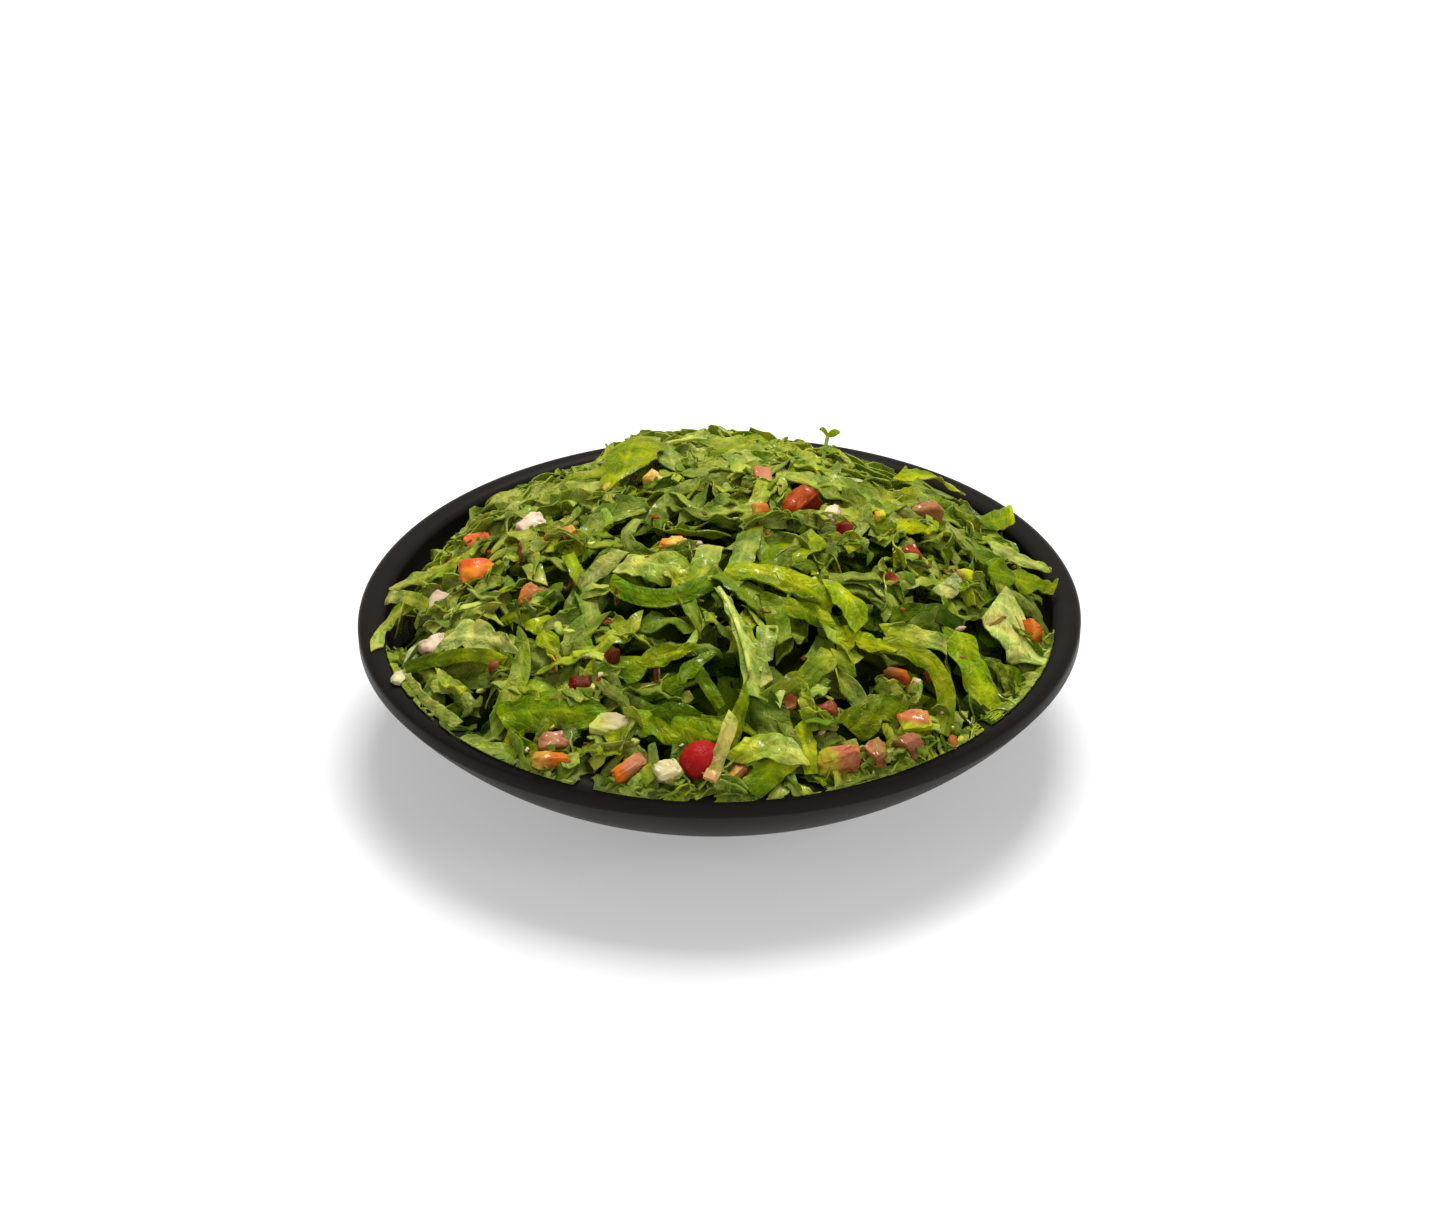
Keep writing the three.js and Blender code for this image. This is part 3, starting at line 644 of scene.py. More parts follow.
def mound_edge(x, y):
    """The radius at which the heap comes down to the lip, further out at the front."""
    front = np.maximum(0, -y / np.maximum(np.hypot(x, y), 1e-6))
    return MOUND_EDGE + MOUND_FRONT_SPREAD * front**2


def mound_z(x, y):
    """The heap's mean surface: the lip's height plus a dome that falls as a power of the radius, less a
    dent."""
    share = np.minimum(np.hypot(x, y) / mound_edge(x, y), 1.15)
    dent = DENT_DEPTH * np.exp(-((x - DENT_X) ** 2 + (y - DENT_Y) ** 2) / DENT_SPREAD**2)
    return RIM_Z + MOUND_RISE * (1 - share**MOUND_FULLNESS) - dent


def leaf_reach(x, y):
    """The radius that leaves may reach: the front one in front, falling to the side one as a power of the
    share of the direction that points to the front."""
    front = np.maximum(0, -y / np.maximum(np.hypot(x, y), 1e-6))
    return SIDE_REACH + (FRONT_REACH - SIDE_REACH) * front**REACH_POWER


def settled(x, y):
    """How far the laid leaves stand over the mean surface, as a sum of soft steps: more on the left
    shoulder, less just left of the crest and right of it, and less over the whole back."""
    at_back = smooth_step(-10, 50, y)
    right_of_crest = 3.4 * smooth_step(8, 22, x) + 2.5 * (smooth_step(36, 46, x) - smooth_step(64, 74, x))
    left_of_crest = 3.5 * smooth_step(-66, -55, x) * smooth_step(-32, -40, x)
    left_shoulder = 4.5 * smooth_step(-64, -76, x) * smooth_step(-102, -90, x)
    across_back = left_shoulder - right_of_crest - left_of_crest
    return at_back * across_back - BACK_DROP * smooth_step(0, 60, y)


def mound_normal(x, y):
    """The upright of the mean surface, from its slopes over 2 mm."""
    step = 1.0
    dx = (mound_z(x + step, y) - mound_z(x - step, y)) / (2 * step)
    dy = (mound_z(x, y + step) - mound_z(x, y - step)) / (2 * step)
    return unit(np.stack([-dx, -dy, np.ones_like(dx)], -1))


def dish_surface(radius):
    """The height of the dish's inside and lip over a radius."""
    inside = dish_inside()[::-1]
    section = np.concatenate([inside, lip_line(np.linspace(math.pi, 0, 25)[1:])])
    return np.interp(radius, section[:, 0], section[:, 1])


def core_top(x, y):
    """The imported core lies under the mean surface, with lumps of a few millimetres."""
    lumps = 1.8 * np.sin(x / 5 + 1.3) * np.cos(y / 4.3 - 0.4) + 1.2 * np.sin((x + y) / 3.1)
    return mound_z(x, y) - CORE_DEPTH + lumps


def make_core():
    """A dome of rings on top and the dish's inside below, as one closed round grid."""
    turn = full_turn(CORE_STEPS)
    edge = np.minimum(mound_edge(np.cos(turn), np.sin(turn)) - 6, CORE_EDGE)
    bed_share = np.linspace(0.04, 0.99, 20)[:, None]
    top_share = np.linspace(1.0, 0.02, 56)[:, None]
    bed_x, bed_y = bed_share * edge * np.cos(turn), bed_share * edge * np.sin(turn)
    top_x, top_y = top_share * edge * np.cos(turn), top_share * edge * np.sin(turn)
    bed_z = dish_surface(np.hypot(bed_x, bed_y)) + DISH_GAP
    bed = np.stack([bed_x, bed_y, bed_z], 2)
    rows = np.concatenate([bed, np.stack([top_x, top_y, core_top(top_x, top_y)], 2)])
    poles = (0, 0, bed_z[0, 0]), (0, 0, float(core_top(0.0, 0.0)))
    points = round_points(rows, *poles)
    mesh = round_mesh("packed_core", points, round_faces(len(rows), len(turn)))
    return finish_piece(mesh, "packed_core", core_material(), "salad")


class TopOfHeap:
    """The height of what is already laid, over a square grid of 1 mm cells."""

    def __init__(self):
        self.low = -MAP_HALF
        axis = np.arange(self.low, MAP_HALF + 1.0)
        x, y = np.meshgrid(axis, axis, indexing="ij")
        radius = np.hypot(x, y)
        self.height = np.where(radius < CORE_EDGE, core_top(x, y), dish_surface(radius))

    def at(self, x, y):
        """The height at a place, blended from the four cells round it."""
        u = np.clip(x - self.low, 0, len(self.height) - 1.001)
        v = np.clip(y - self.low, 0, len(self.height) - 1.001)
        i, j = u.astype(int), v.astype(int)
        s, t = u - i, v - j
        near = self.height[i, j] * (1 - s) + self.height[i + 1, j] * s
        far = self.height[i, j + 1] * (1 - s) + self.height[i + 1, j + 1] * s
        return near * (1 - t) + far * t

    def raise_to(self, points):
        """Each cell takes the height of the highest point over it; points are a grid, filled in between."""
        middles = (points[1:, 1:] + points[:-1, 1:] + points[1:, :-1] + points[:-1, :-1]) / 4
        edges = (points[1:] + points[:-1]) / 2
        flat = np.concatenate([points.reshape(-1, 3), middles.reshape(-1, 3), edges.reshape(-1, 3)])
        cells = np.clip(np.rint(flat[:, :2] - self.low).astype(int), 0, len(self.height) - 1)
        np.maximum.at(self.height, (cells[:, 0], cells[:, 1]), flat[:, 2])


# ---- Laying leaves ----

LEAF_DEFAULTS = {
    "bow": 0.0,  # sideways bulge of the middle line
    "arch": 0.0,  # the middle stands this much over the ends
    "start_lift": 0.0,
    "end_lift": 0.0,
    "roll": 0.0,  # degrees about the middle line
    "twist": 0.0,  # degrees from end to end
    "curl": 0.0,  # degrees of arc across the width; edges go down where it is positive
    "wave": 0.0,  # ruffled edges
    "wander": 0.0,  # its line goes up and down by this much
    "blister": 0.0,  # uneven blade
    "outline": "shred",
    "skew": (0.0, 0.0),  # how far the cut ends slant
    "thick": 0.45,
    "rib": 0.0,  # extra thickness of a midrib
    "over": 1.0,  # how far above the mean surface its line may lie
    "rest": -30.0,  # its line lies at least this high against the mean surface
    "inside": 0.0,  # pushed in until it stays within this share of the heap's edge; 0 leaves it where it is
    "sink": 0.0,  # how far it is pressed into what lies below
    "beyond": -1.0,  # how far it may reach past the others; below 0 it stops short by a drawn share
    "tint": (GRASS, GRASS),  # at the start and the end
    "grid": (18, 6),
}


def half_width(outline, u, rng):
    """The share of the full half width along a leaf, for its two sides, by the kind of outline."""
    if outline == "shred":
        base = 1 - 0.10 * np.abs(2 * u - 1) ** 3
        rough = 0.05
    elif outline == "leaf":
        base = 0.45 + 0.55 * np.sin(math.pi * (0.12 + 0.72 * u))
        rough = 0.08
    elif outline == "tip":
        base = np.sqrt(np.clip(1 - u, 0, 1)) * (0.75 + 0.45 * u) + 0.04
        rough = 0.06
    elif outline == "lobed":
        lobes = np.abs(np.sin(math.pi * (2.5 * u + 0.15))) ** 0.8
        base = (0.42 + 0.62 * lobes) * np.sqrt(np.clip(1.02 - u, 0.02, 1)) + 0.05
        rough = 0.05
    elif outline == "widening":
        base = 0.35 + 0.65 * u**1.3
        rough = 0.05
    elif outline == "stalk":
        base = 1 - 0.35 * u
        rough = 0.03
    sides = []
    for _ in range(2):
        phase = rng.uniform(0, 2 * math.pi, 3)
        uneven = np.sin(9 * u + phase[0]) + 0.7 * np.sin(17 * u + phase[1]) + 0.5 * np.sin(31 * u + phase[2])
        sides.append(base * (1 + rough * uneven))
    return sides


def lay_leaf(top, sheets, start, end, width, rng, **given):
    """Lays one leaf and raises the top of the heap to it.

    Its line runs from start to end in plan with a bow to one side. The line's height is a smoothed envelope
    of what lies below, plus an arch and the lifts of its ends, and a ceiling over the mean surface bounds it.
    Across the line the blade is an arc of a circle for its curl, plus ruffles that grow to the edges and a
    blister field. The blade turns about the line by its roll and twist. Points half the thickness to both
    sides along the blade's normal make it closed."""
    leaf = {**LEAF_DEFAULTS, **given}
    along, across = leaf["grid"]
    seed = rng.uniform(0, 1)
    u = np.linspace(0, 1, along)
    v = np.linspace(-1, 1, across)
    run = np.subtract(end, start)
    length = float(np.hypot(*run))
    sideways = np.array([-run[1], run[0]]) / max(length, 1e-6)
    bulge = leaf["bow"] * 4 * u * (1 - u)
    plan = np.asarray(start) + u[:, None] * run + bulge[:, None] * sideways
    if leaf["inside"]:
        reach_out = np.hypot(*plan.T) + 0.35 * width - leaf["inside"] * mound_edge(plan[:, 0], plan[:, 1])
        plan = plan - unit(plan.mean(0)) * max(0.0, reach_out.max())

    # The smoothed envelope of the heights under the footprint.
    reach = width / 2 * 0.8
    foot_x = plan[:, :1] + sideways[0] * reach * v
    foot_y = plan[:, 1:] + sideways[1] * reach * v
    under = top.at(foot_x, foot_y)
    spine = 0.5 * under.max(1) + 0.5 * under.mean(1)
    spread = max(3, along // 3)
    kernel = np.hanning(spread + 2)[1:-1]
    padded = np.pad(spine, spread // 2 + 1, mode="edge")
    smooth = np.convolve(padded, kernel / kernel.sum(), "same")[spread // 2 + 1 : spread // 2 + 1 + along]
    z = (1 - STIFFNESS) * smooth + STIFFNESS * spine.mean() - leaf["sink"]
    z = np.maximum(z, mound_z(plan[:, 0], plan[:, 1]) + leaf["rest"])
    z += leaf["arch"] * 4 * u * (1 - u) + leaf["start_lift"] * (1 - u) ** 2 + leaf["end_lift"] * u**2
    z += leaf["wander"] * ripples(u * length, 0 * u, 9.0, rng, 3)
    ceiling = mound_z(plan[:, 0], plan[:, 1]) + leaf["over"]
    ceiling += settled(plan[:, 0], plan[:, 1])
    ceiling += leaf["arch"] * 2 * u * (1 - u) + leaf["start_lift"] * (1 - u) ** 2 + leaf["end_lift"] * u**2
    over = np.maximum(z - ceiling, 0).max()
    z = np.minimum(z - 0.6 * over, ceiling)
    line = np.column_stack([plan, z])

    forward = unit(np.gradient(line, axis=0))
    upright = mound_normal(plan[:, 0], plan[:, 1])
    side = unit(np.cross(upright, forward))
    up = np.cross(forward, side)
    lean = np.radians(leaf["roll"] + leaf["twist"] * (u - 0.5))[:, None]
    side, up = side * np.cos(lean) + up * np.sin(lean), up * np.cos(lean) - side * np.sin(lean)

    right, left = half_width(leaf["outline"], u, rng)
    half = np.where(v < 0, left[:, None], right[:, None]) * width / 2
    half_full = width / 2
    turn = math.radians(leaf["curl"]) / 2
    if abs(turn) > 0.02:
        radius = half_full / turn
        angle = v * half / radius
        out = radius * np.sin(angle)
        drop = -radius * (1 - np.cos(angle))
    else:
        out = v * half
        drop = np.zeros_like(out)
    along_mm = u[:, None] * length + np.zeros_like(out)
    edge = np.abs(v) ** 2
    waves = ripples(along_mm, v * 3.0, max(6.0, width * 0.8), rng, 4)
    drop = drop + leaf["wave"] * edge * waves
    if leaf["blister"]:
        drop = drop + leaf["blister"] * ripples(along_mm, out, 5.5, rng, 6)
    slide = leaf["skew"][0] * (1 - u)[:, None] ** 2 * v + leaf["skew"][1] * u[:, None] ** 2 * v
    blade = line[:, None] + out[..., None] * side[:, None] + drop[..., None] * up[:, None]
    blade = blade + slide[..., None] * forward[:, None]

    # No leaf goes through the dish or out past its lip.
    radius_at = np.hypot(blade[..., 0], blade[..., 1])
    reach_at = leaf_reach(blade[..., 0], blade[..., 1])
    short = -SHORTFALL * seed * (FRONT_REACH - reach_at) / SHORTFALL_SPAN
    reach_at = reach_at + (leaf["beyond"] if leaf["beyond"] >= 0 else short)
    blade[..., :2] *= np.minimum(1, reach_at / radius_at)[..., None]
    radius_at = np.minimum(radius_at, reach_at)
    thick = leaf["thick"] * np.ones_like(out)
    thick += leaf["rib"] * np.sqrt(np.clip(1 - (v / 0.98) ** 2, 0, 1)) if leaf["rib"] else 0
    floor = dish_surface(radius_at) + DISH_GAP + thick / 2
    blade[..., 2] = np.clip(blade[..., 2], floor, HEAP_TOP - thick / 2 - 0.2)
    normal = unit(np.cross(np.gradient(blade, axis=0), np.gradient(blade, axis=1)))
    upper = blade + normal * thick[..., None] / 2
    lower = blade - normal * thick[..., None] / 2
    upper[..., 2] = np.minimum(upper[..., 2], HEAP_TOP)
    lower[..., 2] = np.minimum(lower[..., 2], HEAP_TOP)

    shade = 1 + 0.16 * ripples(along_mm, out, 8.0, rng, 3)
    first, last = (np.asarray(c) for c in leaf["tint"])
    colour = first + (last - first) * u[:, None, None]
    colour = np.clip(colour * shade[..., None], 0, 1)
    under_colour = (1 - UNDERSIDE_PALE) * colour + UNDERSIDE_PALE * PALE * 0.8
    uv = np.stack([along_mm + UV_STEP * seed, out], 2)
    sheets.add(upper, lower, with_last(colour, seed), with_last(under_colour, seed), uv)
    top.raise_to(blade)


def spiral_places(count, reach, rng, jitter=3.0):
    """Places spread evenly over the heap on a sunflower spiral, each moved by a drawn step."""
    i = np.arange(count)
    radius = reach * np.sqrt((i + 0.5) / count)
    turn = i * math.pi * (3 - math.sqrt(5)) + rng.uniform(0, 6)
    places = np.stack([radius * np.cos(turn), radius * np.sin(turn)], 1)
    stretch = mound_edge(places[:, 0], places[:, 1]) / MOUND_EDGE
    return places * stretch[:, None] + rng.normal(0, jitter, (count, 2))


def gap_to(path, discs):
    """The smallest distance in plan from a path's points to the rims of discs given as x, y and radius."""
    apart = np.hypot(path[:, :1] - discs[:, 0], path[:, 1:] - discs[:, 1])
    return float((apart - discs[:, 2]).min())


def drawn_tint(rng, bright, pale):
    """A leaf colour between deep green, grass green and lime by the brightness, then towards pale."""
    b = np.clip(rng.normal(bright, 0.30), 0, 1)
    base = DEEP + (GRASS - DEEP) * min(1, 2 * b) if b < 0.5 else GRASS + (LIME - GRASS) * (2 * b - 1)
    return base + (PALE - base) * min(1.0, pale * rng.uniform(0, 1.3))


# ---- Chunks of tomato and onion ----

# Size along, across and upwards, turn and tilt in degrees, squareness, cut colour and skin colour.
CHUNKS = {
    "tomato_left_upper": ((9, 8, 8), 20, 20, 0.6, CORAL * [1.3, 1.5, 1.6], CORAL * [1.2, 1.4, 1.4]),
    "tomato_left_orange": ((14, 11, 8), 12, 18, 0.75, ORANGE * [1.15, 1.3, 1.0], CORAL * [1.2, 1.3, 1.0]),
    "tomato_under_onion": ((9, 7, 8), 50, 15, 0.6, CORAL, PINK),
    "tomato_in_leaf": ((9, 8, 8), 65, 25, 0.6, ORANGE * [0.8, 0.9, 0.9], PEACH * 0.9),
    "tomato_top_wedge": ((16, 9, 9), 48, 22, 0.6, CORAL * [0.28, 0.18, 0.12], CORAL * [0.6, 0.62, 0.15]),
    "tomato_pale_middle": ((9, 7, 8), -15, 12, 0.6, ORANGE * [1.1, 1.8, 2.0], AMBER * [1.25, 1.5, 2.2]),
    "tomato_pale_top": ((8, 7, 8), 60, 25, 0.6, AMBER * [1.2, 1.4, 1.6], AMBER * [1.25, 1.7, 4.0]),
    "tomato_back_right": ((14, 8, 8), 18, 22, 0.6, BROWN, PEACH * 0.7),
    "tomato_right_small": ((8, 7, 7), 30, 12, 0.6, RUST, CORAL * 0.5),
    "tomato_right_edge": ((9, 6, 7), -55, 15, 0.6, CORAL * 0.8, ORANGE * 0.9),
    "tomato_front_dice": ((10, 9, 8), 14, 22, 0.45, LIME * [0.8, 0.9, 2], CORAL * [0.95, 2.0, 2.6]),
    "tomato_front_wedge": ((14, 7, 8), 14, 14, 0.6, AMBER * [0.8, 1.3, 0.8], PINK * [0.9, 0.7, 0.6]),
    "tomato_front_cube": ((8, 7, 7), 40, 12, 0.5, PEACH * 0.9, BROWN * 1.3),
    "tomato_front_brown": ((8, 6, 7), 25, 10, 0.55, BROWN, PINK * 0.7),
    "tomato_cherry": ((14, 13, 12), 30, 20, 1.0, RED, RED),
    "tomato_sliver": ((12, 5, 5), 62, 8, 0.7, AMBER, PEACH),
    "tomato_front_slice": ((13, 5, 6), 42, 12, 0.65, ORANGE, PINK),
    "tomato_left_pink": ((11, 7, 7), 8, 18, 0.6, BROWN * 0.8, PINK * [0.95, 1.0, 1.0]),
    "tomato_left_orange_slice": ((12, 4.5, 5), -4, 6, 0.65, AMBER, ORANGE),
    # These two pieces are coloured dark as painted shade.
    "tomato_deep_red": ((9, 8, 8), 0, 10, 0.65, RED * 0.35, RUST * 0.5),
    "tomato_shaded": ((9, 7, 8), 20, 10, 0.6, RUST, RUST),
    "onion_back_left": ((10, 8, 8), 25, 20, 0.6, PINK * 1.2, ONION * 1.08),
    "onion_top": ((8, 7, 8), 60, 15, 0.75, ONION * 1.1, ONION * 1.1),
    "onion_left": ((10, 7, 7), 60, 20, 0.6, CREAMY * 0.8, ONION * 0.8),
    "onion_left_lower": ((9, 8, 7), 25, 15, 0.7, ONION * 0.85, ONION),
    "onion_front": ((12, 9, 7), -18, 18, 0.5, PALE * 0.75, CREAMY * 0.85),
    "onion_front_dice": ((8, 7, 7), 20, 12, 0.42, CREAMY, CREAMY),
}


# The side of a chunk that has the second colour, where it isn't the end towards +X: a direction, and how far
# out it starts.
SECOND_SIDE = {
    "tomato_front_dice": (0, 0.3, 1.4, 0.34),
    "tomato_left_orange": (0, 1, 0.8, 0.1),
    "tomato_top_wedge": (-0.6, 0, 1, 0.1),
    "tomato_left_pink": (0, 0.4, 1.2, 0.1),
    "onion_back_left": (0.6, 0, 1.0, -0.1),
}


def chunk_grid(size, square, rng, rows=22, count=36):
    """A cut piece about the origin: a ball whose sines and cosines are raised to a power, which is the
    squareness for a round piece and three quarters of it for a cut one, so that a low power gives flat
    sides and rounded edges. Three drawn planes cut corners off a cut piece, because every point past a
    plane moves back onto it. A soft field swells and dents the piece. Returns the points and the share of
    each that is skin, which is the upper face."""
    is_round = square > ROUND_FROM
    polar = np.linspace(0, math.pi, rows + 2)[:, None]
    turn = full_turn(count)[None]

    def power(value):
        return np.sign(value) * np.abs(value) ** (square if is_round else 0.75 * square)

    x = power(np.sin(polar)) * power(np.cos(turn))
    y = power(np.sin(polar)) * power(np.sin(turn))
    z = -power(np.cos(polar)) * np.ones_like(turn)
    points = np.stack([x, y, z], 2)
    for _ in range(0 if is_round else 3):
        cut = unit(rng.normal(0, 1, 3) * [1, 1, 0.7])
        past = points @ cut - rng.uniform(0.55, 1.0)
        points = points - np.maximum(past, 0)[..., None] * cut
    uneven = 0.012 if is_round else 0.07
    bulge = 1 + uneven * ripples(x * 1.3 + z, y * 1.3 - z, 1.6, rng, 6) - 0.03
    bulge += uneven * 0.6 * ripples(x - 1.2 * z, y + 1.1 * z, 0.5, rng, 6)
    points = points * bulge[..., None] * np.array(size) / 2
    skin = smooth_step(0.25, 0.6, z) * np.ones_like(x)
    return points, skin


def make_chunk(name, number_in_row):
    """One chunk at the middle of its solid, turned and tilted as it lies. It has the cut colour, and the
    skin colour on its second side, with a soft uneven border between them."""
    size, turn, tilt, square, cut, skin_colour = CHUNKS[name]
    rng = np.random.default_rng(700 + number_in_row)
    points, skin = chunk_grid(size, square, rng)
    is_round, is_onion = square > ROUND_FROM, name.startswith("onion")
    if is_round:
        skin = np.ones_like(skin)
    low, high = box_mm(name)
    spin = Matrix.Rotation(math.radians(tilt), 3, "X") @ Matrix.Rotation(math.radians(turn), 3, "Z")
    points = points @ np.array(spin).T + (low + high) / 2
    points = np.clip(points, low - 0.3, high + 0.3)
    # The two colours side by side, then riper and darker patches.
    local = points - (low + high) / 2
    patchy = ripples(local[..., 0] + local[..., 2], local[..., 1] - local[..., 2], 5.0, rng, 5)
    *toward, out_from = SECOND_SIDE.get(name, (1.0, 0, 0.5, 0.0))
    along = local @ np.array(toward) / max(size) - out_from
    share = smooth_step(-0.12, 0.12, along + 0.06 * patchy)[..., None]
    colour = cut + (skin_colour - cut) * share
    if not is_round:
        ripe = (0.6 * smooth_step(0.2, 1.2, -patchy))[..., None]
        dark_patches = ripples(local[..., 0], local[..., 1] + local[..., 2], 4.0, rng, 5)
        shaded = (0.5 * smooth_step(0.3, 1.3, dark_patches))[..., None]
        if not is_onion:
            colour = colour * (1 + ripe * [0.1, 0.9, 0.5])
        colour = colour * (1 - shaded * [0.45, 0.7, 0.7])
    faces = round_faces(len(points) - 2, points.shape[1])
    mesh = round_mesh(name + "_piece", closed(points), faces, closed(with_last(colour, skin)))
    material = ONION_FLESH if is_onion else TOMATO
    return finish_piece(mesh, name + "_piece", material, name)


# Smaller cut pieces that show between the leaves: place in plan, size, and the two colours.
SMALL_PIECES = [
    ((-47, 37), (8, 6, 6), AMBER * [1.05, 1.0, 2.0], PEACH * [1.2, 1.1, 1.0]),
    ((15, 10.5), (7.5, 6, 5.5), PINK, PINK * [1.1, 1.2, 1.4]),
    ((-35, 9), (8, 3.5, 4), AMBER * [1.0, 1.4, 2.4], LIME),
    ((13, -14), (6.5, 5, 5), AMBER, ORANGE),
    ((-48.5, -18), (6, 5, 5), PEACH, AMBER),
    ((40.5, -21), (5.5, 5, 5), RED * 0.5, RUST * 0.9),
    ((55, -77), (9, 5, 5), BROWN, ORANGE * 0.7),
    # This piece's dark reds are painted shade.
    ((-33.5, -76), (6, 5, 5), RED * 0.25, RUST * 0.4),
    ((-70, -66), (4.5, 4, 4), RUST, BROWN),
    ((70.5, -91), (6, 4, 5), BROWN, ORANGE * 0.7),
    ((52.5, -9), (5.5, 4, 4), AMBER, LIME),
    ((79, -25), (6, 3.5, 4), AMBER * [1.0, 1.3, 2.0], LIME),
]


def make_small_pieces():
    """The smaller cut pieces, as one mesh: the middle of each is 1 mm above the heap's settled surface."""
    rng = np.random.default_rng(91)
    rows, around = 9, 14
    points, tints = [], []
    for (x, y), size, first, second in SMALL_PIECES:
        one, skin = chunk_grid(size, 0.62, rng, rows, around)
        spin = Matrix.Rotation(rng.uniform(-0.5, 0.5), 3, "X") @ Matrix.Rotation(rng.uniform(0, 6.28), 3, "Z")
        one = one @ np.array(spin).T
        height = float(mound_z(x, y)) + float(settled(np.array(x), np.array(y))) + 1.0
        second_share = smooth_step(-0.15, 0.15, one[..., :1] / size[0])
        points.append(closed(one + [x, y, height]))
        tints.append(closed(with_last(first + (second - first) * second_share, skin)))
    mesh = many_round_mesh("small_pieces", points, tints, rows, around)
    finish_piece(mesh, "small_pieces", TOMATO, "salad")


def chunk_places():
    """The middle and the larger plan half of each chunk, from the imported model."""
    places = []
    for name in CHUNKS:
        low, high = box_mm(name)
        middle = (low + high) / 2
        places.append((middle[0], middle[1], max(high[0] - low[0], high[1] - low[1]) / 2))
    places += [(*at, size[0] / 2) for at, size, _, _ in SMALL_PIECES]
    return np.array(places)


# ---- The pieces that stand out ----

